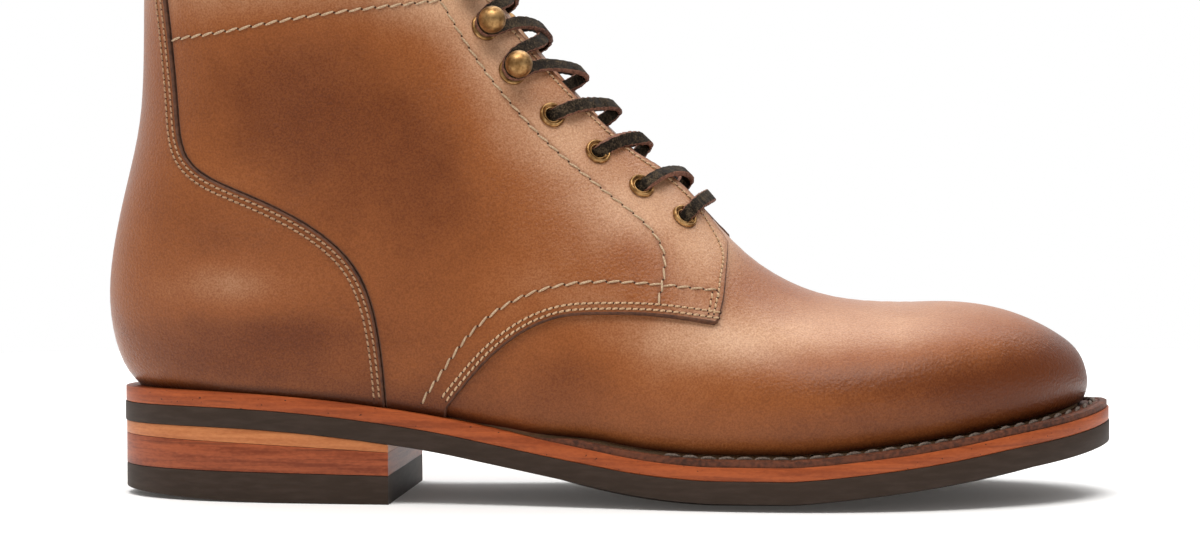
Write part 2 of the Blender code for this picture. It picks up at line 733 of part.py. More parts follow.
def make_quarters(material, holes):
    """Outer leather from the counter's seam to the facing, lapping over the vamp along the wing."""
    seam = [p + (GAP, 0.0) for p in smooth_line(COUNTER_EDGE, 16) if p[1] > COUNTER_FOOT]
    wing = smooth_line(WING_EDGE, 12)
    front = smooth_line(QUARTER_FRONT, 5)
    outline = [*seam, *foot_line(84.0 + GAP, 102.0, 4), *wing, *front]
    outline += [(215.0, 110.0), (130.0, 210.0), (seam[0][0], 210.0)]
    for (word, side), tool in zip(SIDES, holes):
        name = f"quarter_{word}"
        quarter = add_object(name, shell(name, QUARTER_OUT, GAP), material)
        low, high = sorted((side * FACING_HALF_GAP, side * 90.0))
        boolean(quarter, prism(f"cut_{name}", outline, low, high), "INTERSECT")
        boolean(quarter, tool, "DIFFERENCE")


def make_counter(material):
    """Heel counter that runs up the back to the collar."""
    seam = [p for p in smooth_line(COUNTER_EDGE, 16) if p[1] > COUNTER_FOOT]
    outline = [(-30.0, 200.0), (seam[0][0], 200.0), *seam, *foot_line(84.0, -30.0, 9)]
    counter = add_object("counter", shell("counter", COUNTER_OUT, GAP), material)
    boolean(counter, prism("cut_counter", outline, -90.0, 90.0), "INTERSECT")


def make_tongue(material):
    """Tongue under the facings, from the top of the vamp to above the collar."""
    first = FORM.knots[7] + 0.3 * (FORM.knots[8] - FORM.knots[7])
    s = stations(first, FORM.knots[-1])
    grid = FORM.grid(s, LOW_STEPS, HIGH_STEPS)
    out = FORM.normals(s, LOW_STEPS, HIGH_STEPS)
    middle, reach = LOW_STEPS + HIGH_STEPS, 2
    columns = slice(middle - reach, middle + reach + 1)
    grid, out = grid[:, columns], out[:, columns]
    top = UPPER_WALL + GAP
    mesh = patch_solid("tongue", grid - out * top, grid - out * (top + TONGUE_THICK))
    return add_object("tongue", mesh, material)


# Hardware and laces

EYELET_PROFILE = (
    (EYELET_HOLE_R, -UPPER_WALL),
    (EYELET_BARREL_R, -UPPER_WALL),
    (EYELET_BARREL_R, QUARTER_OUT + GAP),
    (EYELET_FLANGE_R, QUARTER_OUT + GAP),
    (EYELET_FLANGE_R - 0.5, QUARTER_OUT + GAP + 0.8),
    (EYELET_HOLE_R + 0.2, QUARTER_OUT + GAP + 0.7),
)


def hook_profile():
    """Base disc, neck and ball, turned about the hook's own axis."""
    base = QUARTER_OUT + GAP
    ball = base + HOOK_BALL_HEIGHT
    start = math.asin(HOOK_NECK_R / HOOK_BALL_R)
    angles = np.linspace(math.pi - start, 0, 6)
    dome = [(HOOK_BALL_R * math.sin(a), ball + HOOK_BALL_R * math.cos(a)) for a in angles[:-1]]
    return [
        (0.0, base),
        (HOOK_BASE_R, base),
        (HOOK_BASE_R - 0.3, base + 0.9),
        (HOOK_NECK_R, base + 1.1),
        *dome,
        (0.0, ball + HOOK_BALL_R),
    ]


def make_hardware(material, find):
    for word, side in SIDES:
        for number, (x, z) in enumerate(EYELETS, 1):
            name = f"eyelet_{word}_{number}"
            add_object(name, turned(name, EYELET_PROFILE, *find(x, z, side)), material)
        for number, (x, z) in enumerate(HOOKS, 1):
            name = f"hook_{word}_{number}"
            add_object(name, turned(name, hook_profile(), *find(x, z, side)), material)


def ribbon(name, path, ups, wide, thick):
    """Flat lace along a path, with its broad side facing ups."""
    path, ups = np.array(path), unit(np.array(ups))
    tangent = unit(np.gradient(path, axis=0))
    across = unit(np.cross(tangent, ups))
    ups = np.cross(across, tangent)
    corners = ((-1, -1), (1, -1), (1, 1), (-1, 1))
    ring = np.stack([path + across * a * wide / 2 + ups * b * thick / 2 for a, b in corners], axis=1)
    numbers = np.arange(ring.shape[0] * 4).reshape(-1, 4)
    faces = grid_faces(np.hstack([numbers, numbers[:, :1]])) + [tuple(numbers[0]), tuple(numbers[-1])]
    return closed_mesh(name, ring.reshape(-1, 3), faces)


LACE_RISE = QUARTER_OUT + LACE_THICK / 2
LACE_BAR_CLEAR = 0.6
LACE_ARCH = 1.6  # extra height over the middle of the throat
LACE_BOW = 7.0  # how round a strand runs over the edge of a facing

# Strands from hole to hole, counted from the lowest eyelet: where on the way from each hole to the
# middle of the throat they start and stop, how far past the hole's middle, so that strands at one hook
# don't meet, and how far they clear the facings
STRAND_COLUMNS = ("lower", "upper", "start_share", "stop_share", "aside", "clear")
STRAND_ROWS = (
    (0, 1, 0.48, 0.48, 0.0, 0.5),
    (1, 2, 0.28, 0.62, 0.0, 0.9),
    (2, 3, 0.28, 0.62, 0.0, 1.1),
    (3, 4, 0.28, 0.30, 2.4, 1.5),
    (4, 5, 0.30, 0.30, 2.4, 1.4),
    (5, 6, 0.30, 0.30, 2.4, 1.2),
)


def lace_path(ends, up, clear):
    """Line over the throat between two holes, clear of the facings, where the throat runs along up.

    Each end is a point, its outward direction, the share of the way to the middle where the line starts,
    and a step up."""
    rise = LACE_RISE + clear
    out_throat = np.array((up[2], 0.0, -up[0]))
    middle = (ends[0][0] + ends[1][0]) / 2
    ridge = FORM.ridge(np.linspace(0, FORM.knots[-1], 600))
    crown = ridge[np.argmin(abs((ridge - middle) @ up))] + out_throat * (rise + LACE_ARCH)
    points, ups = [], []
    for hole, out, start, aside in ends:
        foot = hole + out * rise + up * aside
        shares = np.linspace(start, 1, 4)[:-1, None]
        bow = LACE_BOW * (np.sin(math.pi / 2 * shares) - shares)
        points.append((1 - shares) * foot + shares * crown + out_throat * bow)
        ups.append((1 - shares) * out + shares * out_throat)
    path = np.vstack([points[0], crown, points[1][::-1]])
    return path, np.vstack([ups[0], out_throat, ups[1][::-1]])


def make_laces(material, find):
    """A straight bar between the lowest eyelets, and a cross from each pair of holes to the next."""
    holes = (*EYELETS, *HOOKS)
    ups = [unit(np.array((b[0] - a[0], 0.0, b[1] - a[1]))) for a, b in zip(holes, holes[1:])]
    bar = [(*find(*holes[0], side), 0.28, 0.0) for _, side in SIDES]
    path, faces = lace_path(bar, ups[0], LACE_BAR_CLEAR)
    add_object("lace_bar", ribbon("lace_bar", path, faces, LACE_WIDE, LACE_THICK), material)
    for number, (low, high, start, stop, aside, clear) in enumerate(STRAND_ROWS, 1):
        strands = []
        for side in (LATERAL, MEDIAL):
            first = (*find(*holes[low], side), start, aside)
            last = (*find(*holes[high], -side), stop, -aside)
            strands.append(lace_path((first, last), ups[low], clear))
        name = f"lace_cross_{number}"
        cross = add_object(name, ribbon(name, *strands[0], LACE_WIDE, LACE_THICK), material)
        other = cutter(f"join_{name}", ribbon(f"join_{name}", *strands[1], LACE_WIDE, 0.97 * LACE_THICK))
        boolean(cross, other, "UNION")


def centre_on_floor():
    """Parents every piece to one empty and moves it so that the origin is under the middle of the box."""
    boot = bpy.data.objects.new("boot", None)
    bpy.context.scene.collection.objects.link(boot)
    bpy.context.view_layer.update()
    graph = bpy.context.evaluated_depsgraph_get()
    pieces = [o for o in bpy.context.scene.objects if o.type == "MESH"]
    shown = [o for o in pieces if not o.hide_render]
    corners = np.array([tuple(v.co) for o in shown for v in o.evaluated_get(graph).data.vertices])
    low, high = corners.min(axis=0), corners.max(axis=0)
    for obj in pieces:
        obj.parent = boot
    boot.location = (-(low[0] + high[0]) / 2, -(low[1] + high[1]) / 2, -low[2])


def main():
    for obj in list(bpy.data.objects):
        bpy.data.objects.remove(obj)
    leather = paint("tan_leather", (0.33, 0.14, 0.055), 0.4)
    edge = paint("welt_leather", (0.08, 0.035, 0.02), 0.6)
    midsole = paint("midsole_leather", (0.42, 0.12, 0.03), 0.5)
    lift = paint("heel_leather", (0.38, 0.13, 0.045), 0.5)
    light_lift = paint("light_heel_leather", (0.5, 0.22, 0.09), 0.5)
    rubber = paint("dark_rubber", (0.035, 0.025, 0.02), 0.6)
    lining = paint("lining_leather", (0.45, 0.27, 0.14), 0.6)
    brass = paint("aged_brass", (0.45, 0.28, 0.1), 0.35, 1.0)
    lace = paint("lace_leather", (0.05, 0.035, 0.028), 0.6)
    find = side_caster()
    holes = [eyelet_cutter(find, side, f"holes_{word}") for word, side in SIDES]
    make_outsole(rubber)
    make_midsole(midsole)
    make_welt(edge)
    make_insole(lining)
    make_heel(light_lift, lift, rubber)
    make_upper(leather, holes)
    make_quarters(leather, holes)
    make_counter(leather)
    make_tongue(leather)
    make_hardware(brass, find)
    make_laces(lace, find)
    centre_on_floor()


main()
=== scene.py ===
"""Looks of the service boot: a plain-toe derby boot in oiled leather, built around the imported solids.

Sizes are in millimetres, in the part's working frame: X runs from the back of the outsole to the toe, +Y
points to the inner side, and Z = 0 is the floor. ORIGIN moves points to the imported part's own frame.
"""

import math

import bmesh
import bpy
import numpy as np
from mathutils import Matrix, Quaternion, Vector
from mathutils.bvhtree import BVHTree


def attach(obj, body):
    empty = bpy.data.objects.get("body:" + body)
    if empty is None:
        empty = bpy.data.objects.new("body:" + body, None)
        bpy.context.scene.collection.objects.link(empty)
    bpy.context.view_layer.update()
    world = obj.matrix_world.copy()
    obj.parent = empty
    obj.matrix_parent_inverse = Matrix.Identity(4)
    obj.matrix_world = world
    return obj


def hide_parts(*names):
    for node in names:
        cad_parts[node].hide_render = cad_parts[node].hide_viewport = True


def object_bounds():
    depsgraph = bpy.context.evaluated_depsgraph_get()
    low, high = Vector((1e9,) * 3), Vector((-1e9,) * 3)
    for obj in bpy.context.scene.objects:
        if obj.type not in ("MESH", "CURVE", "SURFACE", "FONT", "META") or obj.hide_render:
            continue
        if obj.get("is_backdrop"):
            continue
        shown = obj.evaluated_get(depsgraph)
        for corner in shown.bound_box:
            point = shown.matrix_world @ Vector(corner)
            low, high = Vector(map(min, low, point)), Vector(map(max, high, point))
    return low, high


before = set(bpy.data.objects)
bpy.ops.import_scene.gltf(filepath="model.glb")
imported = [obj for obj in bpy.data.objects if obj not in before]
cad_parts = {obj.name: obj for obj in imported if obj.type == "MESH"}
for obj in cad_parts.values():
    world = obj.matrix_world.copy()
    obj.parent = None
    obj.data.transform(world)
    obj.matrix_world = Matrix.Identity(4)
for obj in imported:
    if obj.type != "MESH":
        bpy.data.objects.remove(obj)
cad_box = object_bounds()

MM = 0.001
ORIGIN = np.array((-147.801, 0.851, 0.0))
GAP = 0.3  # room between pieces that meet
LAYER_GAP = 0.05  # hairline between layers of the sole, and between leathers

# Driving dimensions of the sole
SOLE_LENGTH = 300.0
TOE_TIP_Y = 7.0
OUTSOLE_THICK, OUTSOLE_FRONT = 5.8, 6.5  # at the heel, and under the ball
MIDSOLE_THICK, MIDSOLE_FRONT = 4.4, 3.8
WELT_THICK = 2.4
WELT_START, WELT_FULL = 124.0, 150.0  # along x: the upper starts to rise for it, and has risen
INSOLE_THICK = 3.0
SOLE_DOME = 2.4  # how far the edges of the tread stand above its middle at the ball
FLAT_SHARE = 0.62  # how much of its width is flat before the edges rise
DOME_START, DOME_FULL, DOME_FADE = 108.0, 150.0, 262.0  # along x: the rise starts, is full, and fades again
FRONT_START, FRONT_FULL = 125.0, 180.0  # along x: the layers change from their heel to their ball thickness

# Driving dimensions of the heel
HEEL_BREAST_X = 85.0
HEEL_BREAST_SLANT = 2.4  # how much further forward the breast is on the inner side
TOP_PIECE_BACK, TOP_PIECE_FRONT = 9.4, 8.5
LIFT_SPLIT_BACK, LIFT_SPLIT_FRONT = 18.6, 15.4
HEEL_BEVEL, HEEL_BEVEL_LENGTH = 2.2, 48.0  # the back of the heel is cut up from the floor

# Driving dimensions of the upper
UPPER_WALL = 1.8
QUARTER_THICK = 1.4
COUNTER_THICK = 1.9
TONGUE_THICK = 2.0
QUARTER_OUT = GAP + QUARTER_THICK
COUNTER_OUT = GAP + COUNTER_THICK
FACING_HALF_GAP = 9.5  # from the middle of the throat to the edge of a quarter
THROAT_HALF_GAP = 10.5

# Hardware and laces
EYELET_HOLE_R, EYELET_BARREL_R, EYELET_FLANGE_R = 2.15, 2.5, 4.0
HOOK_BASE_R, HOOK_NECK_R, HOOK_BALL_R = 4.3, 1.5, 4.1
HOOK_BALL_HEIGHT = 5.6
STRAP_WIDE, STRAP_THICK = 4.2, 1.6  # the lace as it lies, flatter than its solid

# Plan of the outsole at stations along its length: x, and y of the outer and of the inner edge
SOLE_ROWS = (
    (3.5, -11.8, 11.8),
    (13.0, -21.5, 21.5),
    (32.0, -30.0, 29.6),
    (60.0, -34.6, 33.2),
    (90.0, -37.0, 32.8),
    (120.0, -40.3, 31.6),
    (150.0, -45.5, 33.8),
    (180.0, -50.8, 40.5),
    (205.0, -52.8, 47.3),
    (230.0, -51.0, 51.0),
    (252.0, -44.8, 49.3),
    (272.0, -34.5, 42.5),
    (287.0, -21.5, 33.0),
    (296.0, -8.5, 22.0),
)

# Side view of the tread, as (x, z): heel seat, arch, flat under the ball, toe spring
TREAD_ROWS = (
    (0.0, 22.4),
    (40.0, 22.0),
    (62.0, 20.5),
    (85.0, 17.8),
    (115.0, 12.4),
    (142.0, 5.2),
    (165.0, 1.1),
    (182.0, -0.1),
    (202.0, -0.1),
    (222.0, 1.6),
    (248.0, 4.9),
    (276.0, 10.2),
    (300.0, 16.2),
)

# How far the upper's lower edge lies inside the outsole, as (x, inset)
FEATHER_ROWS = (
    (0.0, 5.6),
    (7.0, 5.5),
    (20.0, 4.3),
    (50.0, 2.8),
    (90.0, 3.3),
    (130.0, 4.2),
    (170.0, 6.2),
    (300.0, 6.6),
)

# Sections of the foot, from the toe back: number of the sole row that it stands on, its ridge point as x, z
# and y, the share of its height where it is widest, y there on the outer and inner side, and how full its
# shoulders are
FOOT_ROWS = (
    (13, 291.6, 41.0, 6.8, 0.40, -6.1, 19.4, 0.58),
    (12, 285.0, 47.9, 6.6, 0.38, -18.1, 29.0, 0.60),
    (11, 270.5, 54.9, 6.4, 0.34, -30.2, 37.7, 0.62),
    (10, 251.2, 58.1, 6.2, 0.32, -39.7, 43.9, 0.60),
    (9, 231.0, 57.5, 6.0, 0.32, -45.6, 45.5, 0.56),
    (8, 209.8, 60.2, 5.0, 0.29, -47.7, 42.4, 0.52),
    (7, 190.5, 71.4, 3.6, 0.25, -46.6, 36.9, 0.50),
    (6, 174.0, 90.2, 2.2, 0.23, -42.8, 32.4, 0.50),
    (5, 157.0, 106.0, 1.2, 0.23, -38.6, 31.2, 0.51),
    (4, 143.0, 120.0, 0.6, 0.25, -35.4, 31.9, 0.53),
    (3, 132.0, 132.0, 0.3, 0.31, -33.9, 32.8, 0.55),
    (2, 123.5, 142.2, 0.1, 0.36, -33.8, 33.3, 0.56),
    (1, 118.5, 148.3, 0.0, 0.39, -34.0, 33.7, 0.56),
    (0, 115.5, 152.0, 0.0, 0.41, -34.2, 34.0, 0.56),
)

# Sections of the leg, from the heel seat up: back point and front point as x and z, share of the way between
# them where it is widest, outer and inner half-width there, and how full its shoulders are. The first stands
# on the heel tip, the last but one is the collar and the last only carries the tongue.
LEG_ROWS = (
    (5.6, 33.2, 113.5, 154.5, 0.42, 34.4, 34.2, 0.56),
    (0.6, 43.0, 111.2, 157.5, 0.43, 34.7, 34.5, 0.56),
    (-2.2, 58.0, 109.0, 160.4, 0.44, 34.9, 34.7, 0.56),
    (-0.6, 76.0, 106.8, 163.4, 0.455, 35.0, 34.8, 0.56),
    (3.4, 94.0, 104.7, 166.3, 0.47, 35.1, 34.9, 0.56),
    (7.3, 112.0, 102.7, 169.1, 0.48, 35.3, 35.1, 0.56),
    (8.7, 131.0, 100.9, 171.7, 0.49, 35.5, 35.3, 0.56),
    (9.0, 149.0, 99.5, 173.8, 0.50, 35.8, 35.6, 0.56),
    (9.2, 166.0, 98.3, 175.7, 0.50, 36.2, 36.0, 0.56),
    (9.2, 180.0, 96.6, 188.0, 0.50, 36.6, 36.4, 0.56),
)
COLLAR_ROW = len(LEG_ROWS) - 2

# Seam lines in side view, as (x, z)
COUNTER_EDGE = (
    (15.5, 172.0),
    (20.1, 138.0),
    (22.5, 115.2),
    (25.5, 102.3),
    (40.5, 92.7),
    (60.4, 82.9),
    (74.9, 70.1),
    (82.0, 50.0),
    (84.5, 20.0),
)
WING_EDGE = (
    (102.6, 29.0),
    (108.5, 36.0),
    (115.9, 44.0),
    (124.8, 50.8),
    (136.5, 55.5),
    (148.2, 56.3),
    (162.7, 55.9),
    (182.1, 53.0),
)
QUARTER_FRONT = ((183.6, 60.0), (184.0, 76.1), (183.2, 83.0), (180.2, 90.0))

# Eyelets from the lowest up, then hooks, as (x, z) in side view
EYELETS = ((171.1, 83.5), (158.5, 92.6), (145.5, 103.0), (131.9, 114.1))
HOOKS = ((119.9, 127.2), (111.6, 140.4), (104.5, 154.0))

# Fineness of the visible surfaces
FINE_GAP = 2.0
FINE_LOW, FINE_HIGH = 26, 30
LAYER_STEPS, HEEL_STEPS, INSOLE_ROWS = 120, 60, 9
TURN_SIDES = 28

# Sides of the boot, by the sign of y
LATERAL, MEDIAL = -1, 1
SIDES = (("outer", LATERAL), ("inner", MEDIAL))

# Stitch lines in side view, as (x, z)
COLLAR_LINE = ((20.4, 137.4), (35.5, 139.3), (59.8, 143.6), (83.0, 146.9), (98.7, 148.6))
FACING_LINE = (
    (98.7, 148.6),
    (108.3, 133.0),
    (117.2, 121.1),
    (129.1, 107.7),
    (140.9, 97.3),
    (152.8, 87.8),
    (161.7, 80.1),
    (165.6, 73.6),
    (166.0, 66.2),
    (164.6, 58.6),
)
WING_LINE = (
    (181.2, 62.2),
    (165.0, 64.3),
    (147.6, 65.4),
    (130.2, 63.1),
    (118.6, 57.9),
    (109.8, 50.6),
    (101.0, 38.9),
    (95.0, 30.5),
)

# Kinds of stitch: pitch, width, share of the pitch that one fills, and slant
HEAVY_STITCH = (4.1, 0.7, 0.98, 0.2)
FINE_STITCH = (1.95, 0.64, 0.9, 0.18)
WELT_STITCH = (5.2, 1.3, 0.98, 0.3)
HOLE_SHARE = 0.48  # radius of a needle hole, as a share of the stitch's width
HOLE_LIFT, HOLE_DEPTH = 0.07, 0.3  # over and under the leather's surface

# Places of the other rows of stitches
EDGE_ROWS = (1.4, 3.0)  # how far the two fine rows lie inside an edge
COUNTER_ROW_FOOT, COUNTER_ROW_TOP = 31.5, 166.0
WING_ROW_FOOT = 30.0
FRONT_ROW = 1.9  # how far the row round the front of a quarter lies inside its edge
FRONT_ROW_TOP, FACING_ROW_FOOT = 77.0, 92.0  # between these heights it bends round the corner
FACING_ROW_TOP = 172.0
WELT_ROW_OUT, WELT_ROW_SHARE = 1.5, 1.04  # distance from the upper's edge, and share of the welt's height
WELT_ROW_BACK = 166.0  # x of its ends at the waist

# Short rows of back-stitches at the lower front corner of a quarter, as (x, z)
CORNER_ROWS = (((181.6, 61.6), (180.7, 55.6)), ((180.0, 61.7), (179.2, 55.8)))

# Soft troughs in the leather: side (0 for both), three points in side view, width and depth (below 0: ridge)
CREASES = (
    (0, (196.0, 52.0), (206.0, 44.0), (213.0, 33.0), 7.0, 0.5),
    (0, (190.0, 44.0), (197.0, 38.0), (203.0, 29.0), 6.0, -0.35),
    (0, (112.0, 112.0), (125.0, 96.0), (142.0, 84.0), 8.0, 0.45),
    (0, (60.0, 104.0), (84.0, 92.0), (108.0, 84.0), 9.0, 0.45),
    (0, (48.0, 122.0), (74.0, 113.0), (98.0, 108.0), 8.0, 0.35),
    (0, (66.0, 90.0), (92.0, 77.0), (120.0, 72.0), 9.0, -0.35),
    (0, (12.0, 92.0), (24.0, 84.0), (38.0, 78.0), 8.0, 0.35),
    (LATERAL, (156.0, 104.0), (173.0, 92.0), (186.0, 80.0), 6.0, -1.8),
    (0, (182.0, 82.0), (206.0, 63.0), (240.0, 57.0), 9.0, -1.2),
)
CREASE_FADE = 6.0  # a trough of one side fades out over this distance from the middle

# How the form's sections are drawn
NEAR = 0.4  # step along the sections that a direction is taken over
BACK_FULL = 0.98  # the lower arcs are this much flatter than an ellipse
TIP_SINE = 0.95  # steepest start of a section: the sine of its place on the ellipse

# How points of the surface are looked up
RAY_START, MISSED_Y = 200.0, 20.0  # how far out a ray starts, and where the sheet is sought if it misses
FACING_FOOT_ROW = 6  # section that the search for a facing's line starts from
FACING_STEP, FACING_COLUMNS = 1.5, 60

# Layers of the sole
MIDSOLE_LOOK_INSET, HEEL_LOOK_INSET, WELT_LOOK_INSET = 0.2, 0.35, 0.8  # a little less than the solids have
LAYER_BEVEL, LIFT_BEVEL = 0.35, 0.2
CAP_SHARES = (-FLAT_SHARE, -0.3, 0.0, 0.3, FLAT_SHARE)
BEVEL_MIDDLE = 0.29  # place of a rounded edge's middle point
HEEL_BEVEL_POWER, HEEL_LEVEL_POWER = 1.4, 1.6  # how sharply the heel's underside and its levels curve

# Tread: a sunk field inside a plain rim, from one x to another, with rows of round studs
FIELD_DEPTH = 0.7
FIELD_SHARES = (-FLAT_SHARE, -0.605, -0.3, 0.0, 0.3, 0.605, FLAT_SHARE)
FIELD_EDGE = 0.61
FOREFOOT_FIELD, HEEL_FIELD = (150.0, 262.0), (10.0, 76.0)
STUD_R, STUD_PITCH = 2.4, 7.4
STUD_ROW_STEP = 0.866 * STUD_PITCH
STUD_MARGIN = 1.0
STUD_PROFILE = (
    (0.0, FIELD_DEPTH),
    (STUD_R - 0.3, FIELD_DEPTH),
    (STUD_R, FIELD_DEPTH - 0.25),
    (STUD_R, -0.1),
    (0.0, -0.1),
)

# Profile of the welt: share of the way from its outer edge to its inner one, and share of its thickness
WELT_PROFILE = (
    (0.0, 0.0),
    (0.0, 0.72),
    (0.1, 0.94),
    (0.24, 1.0),
    (0.29, 0.78),
    (0.34, 0.98),
    (1.0, 1.08),
    (1.0, 0.0),
)
WELT_UNDER = 2.4  # how far it reaches under the upper

# The welt's skived ends: where they start, where it has its full thickness, and the least share of that
WELT_END_X, WELT_END_FULL, WELT_END_SHARE = 128.5, 142.0, 0.12

# Raw edges of the leather, and its lowest millimetres, which are rolled in
EDGE_ANGLES = np.radians((30.0, 60.0, 90.0))
EDGE_WINDOW = 1.2  # the edge's direction is taken over this distance to both sides
SEAM_FAR = 6.0  # distances to a stitch line are told apart up to this
GRAIN_SIDE, RAW_EDGE, BACK_SIDE = 0, 1, 2  # numbers of the materials
TUCK_HEIGHT, TUCK_DEPTH = 8.0, 1.5

# Tonal areas of the leather in side view, its own pull-up tone mixed with painted highlight and painted
# shade:
# x, z, reach along x and z, and how much lighter (below 0: darker)
TONE_AND_LIGHT_AREAS = (
    (106.0, 158.0, 14.0, 16.0, 0.6),
    (117.0, 134.0, 14.0, 15.0, 0.8),
    (137.0, 109.0, 16.0, 13.0, 0.8),
    (160.0, 88.0, 17.0, 12.0, 0.8),
    (179.0, 74.0, 12.0, 12.0, 0.65),
    # The next three areas paint a highlight band along the vamp and shade below it.
    (182.0, 49.0, 24.0, 9.0, 0.72),
    (212.0, 51.0, 32.0, 6.0, 0.35),
    (224.0, 37.0, 36.0, 6.0, -0.3),
    (144.0, 62.0, 16.0, 7.0, 0.15),
    (142.0, 92.0, 13.0, 10.0, 0.2),
    (115.0, 112.0, 13.0, 16.0, 0.2),
    (55.0, 152.0, 60.0, 10.0, 0.45),
    (97.0, 148.0, 12.0, 9.0, 0.3),
    (36.0, 65.0, 21.0, 8.0, 0.36),
    (240.0, 58.0, 34.0, 7.0, 0.3),
    (236.0, 51.0, 14.0, 6.0, 0.25),
    (40.0, 93.0, 14.0, 8.0, 0.2),
    (58.0, 118.0, 36.0, 24.0, -0.42),
    (92.0, 94.0, 30.0, 22.0, -0.38),
    (26.0, 87.0, 16.0, 8.0, -0.2),
    (46.0, 51.0, 34.0, 7.0, -0.32),
    (84.0, 33.0, 34.0, 10.0, -0.22),
    (88.0, 26.0, 26.0, 7.0, -0.4),
    (60.0, 50.0, 18.0, 7.0, -0.2),
    (101.0, 116.0, 12.0, 24.0, -0.16),
    (34.0, 75.0, 20.0, 6.0, -0.15),
    (157.0, 74.0, 8.0, 6.0, -0.2),
    (140.0, 40.0, 18.0, 8.0, -0.2),
    (293.0, 38.0, 8.0, 16.0, -0.7),
    (92.0, 60.0, 20.0, 18.0, -0.15),
    (22.0, 66.0, 26.0, 18.0, -0.1),
    (38.0, 40.0, 40.0, 9.0, -0.4),
    (140.0, 30.0, 30.0, 8.0, -0.2),
    (262.0, 34.0, 22.0, 10.0, -0.6),
    (287.0, 40.0, 16.0, 16.0, -0.55),
    (225.0, 24.0, 50.0, 7.0, -0.3),
)
INNER_DARK = 0.4  # dark areas of the leg and heel, behind LEG_FRONT, are weaker on the inner side
LEG_FRONT = 150.0

# Colours of the leather
LEATHER_LIGHT = (0.645, 0.388, 0.238)
LEATHER_MID = (0.285, 0.088, 0.022)
LEATHER_DARK = (0.125, 0.03, 0.006)
PORE_SHADE = (0.72, 0.62, 0.54)
CREVICE_SHADE = (0.03, 0.008, 0.003)  # painted shade in the crevice just over the sole

# Slot between the facings, and points that close the outlines of quarters and counter, all in side view
THROAT_OUTLINE = ((164.0, 68.0), (150.0, 60.0), (70.0, 150.0), (70.0, 205.0), (150.0, 205.0), (204.0, 108.0))
QUARTER_FOOT, QUARTER_ABOVE = (100.0, 15.0), ((215.0, 110.0), (130.0, 210.0))
COUNTER_BEHIND, COUNTER_BELOW = (-30.0, 210.0), ((84.5, 10.0), (-30.0, 10.0))
SEAM_GAP = 0.15  # between a quarter and the counter

# Radii of the cuts for eyelets, and of the round raw edges
EYELET_CUT_R = EYELET_BARREL_R + 0.2
UPPER_EDGE_R, QUARTER_EDGE_R, COUNTER_EDGE_R, TONGUE_EDGE_R = 0.5, 0.55, 0.6, 0.7

# The tongue: the section and share of the way to the next where it starts, and the shape of its top corners
TONGUE_FOOT_ROW, TONGUE_FOOT_SHARE = 7, 0.3
TONGUE_SPARE, TONGUE_CORNER_WIDE, TONGUE_CORNER_DROP = 1.0, 17.0, 7.0

# Rings of a stitch: place along its half-length, thickness, and lift as a share of half its width
STITCH_RINGS = (
    (-1.0, 0.3, -0.7),
    (-0.8, 0.75, -0.1),
    (-0.35, 1.0, 0.25),
    (0.35, 1.0, 0.25),
    (0.8, 0.75, -0.1),
    (1.0, 0.3, -0.7),
)
STITCH_SIDES = 6
STITCH_UP = 0.1
STITCH_SHARP = 80

# Edges of metal and lace that bend more than this stay sharp, in degrees
SHARP_DEG = 50

# An eyelet's rolled ring, and its lip as (distance outside the hole, height over the leather)
EYELET_ROLL_SHARE, EYELET_ROLL_HEIGHT = 0.3, 1.05
EYELET_LIP = ((0.55, 0.3), (0.4, 0.5), (0.15, 0.5), (0.0, 0.3))

# A hook's stepped base, as (distance inside its rim, height), and the foot of its neck, as (distance outside
# the neck, height)
HOOK_STEPS = ((0.0, 0.0), (0.0, 0.5), (0.35, 0.85), (1.0, 0.9), (1.2, 1.3))
HOOK_NECK_FOOT = ((0.3, 1.4), (0.0, 1.7))

# Section of the lace, as shares of half its width and half its thickness
LACE_SIDE = (
    (-1.0, -0.55),
    (-0.86, -1.0),
    (0.86, -1.0),
    (1.0, -0.55),
    (1.0, 0.55),
    (0.86, 1.0),
    (-0.86, 1.0),
    (-1.0, 0.55),
)
LACE_CUT_FACES = (0, 2, 3, 4, 6, 7)  # faces round the section that show the cut edge
GRAIN_FACE, CUT_FACE = 0, 1  # numbers of the materials

# Waves in the lace's width: share of the width, pace along its length, and the coordinate that shifts them
LACE_WAVES = ((0.05, 2.1, 2), (0.04, 5.3, 0))

# Strands of the lace
THROAT_RISE = 1.5  # how far a strand's middle stands over the ridge of the throat
CROSS_STEP = 0.75  # half the height between two strands that cross
STRAND_RISE = 1.3  # how far a strand stands over the leather beside its hole or hook
STRAP_CLEAR = 0.5  # room between the lace and the edge of a facing
TURN_REACH = 0.62  # share of a strand over which it is turned about its own length
STRAND_STEPS = 10  # fine points for each point that is given

# A strand's way up through an eyelet: height along the hole, and distance towards the crown
HOLE_PATH = ((-3.0, -0.8), (0.2, 0.2), (QUARTER_OUT + STRAND_RISE, 2.8))

# A strand's way round a hook: angles, and shares of its width where it is gathered under the ball
HOOK_TURN = np.radians((-110.0, -45.0, 20.0, 80.0))
HOOK_WIDTHS = (0.8, 0.5, 0.5, 0.8)

# Each crossing, from the bar up: where its crown lies between the lower and the upper hole, how much higher
# it stands, and the turn in degrees of the outer and the inner strand about their own length near the eyelet
CROSSINGS = (
    (0.0, 2.4, 0.0, 0.0),
    (0.5, 0.0, -22.0, 15.0),
    (0.5, 0.0, 42.0, -20.0),
    (0.36, 1.0, 8.0, 25.0),
    (0.2, 1.0, 0.0, 0.0),
    (0.28, 1.0, 0.0, 0.0),
    (0.35, 0.8, 0.0, 0.0),
)

# Camera, surroundings and floor
CAMERA_AT = np.array((205.0, -1000.0, 110.2))
CAMERA_YAW, CAMERA_PITCH, CAMERA_ROLL = 3.4, 2.36, -0.12
CAMERA_LENS, CAMERA_SENSOR = 98.97, 36.0

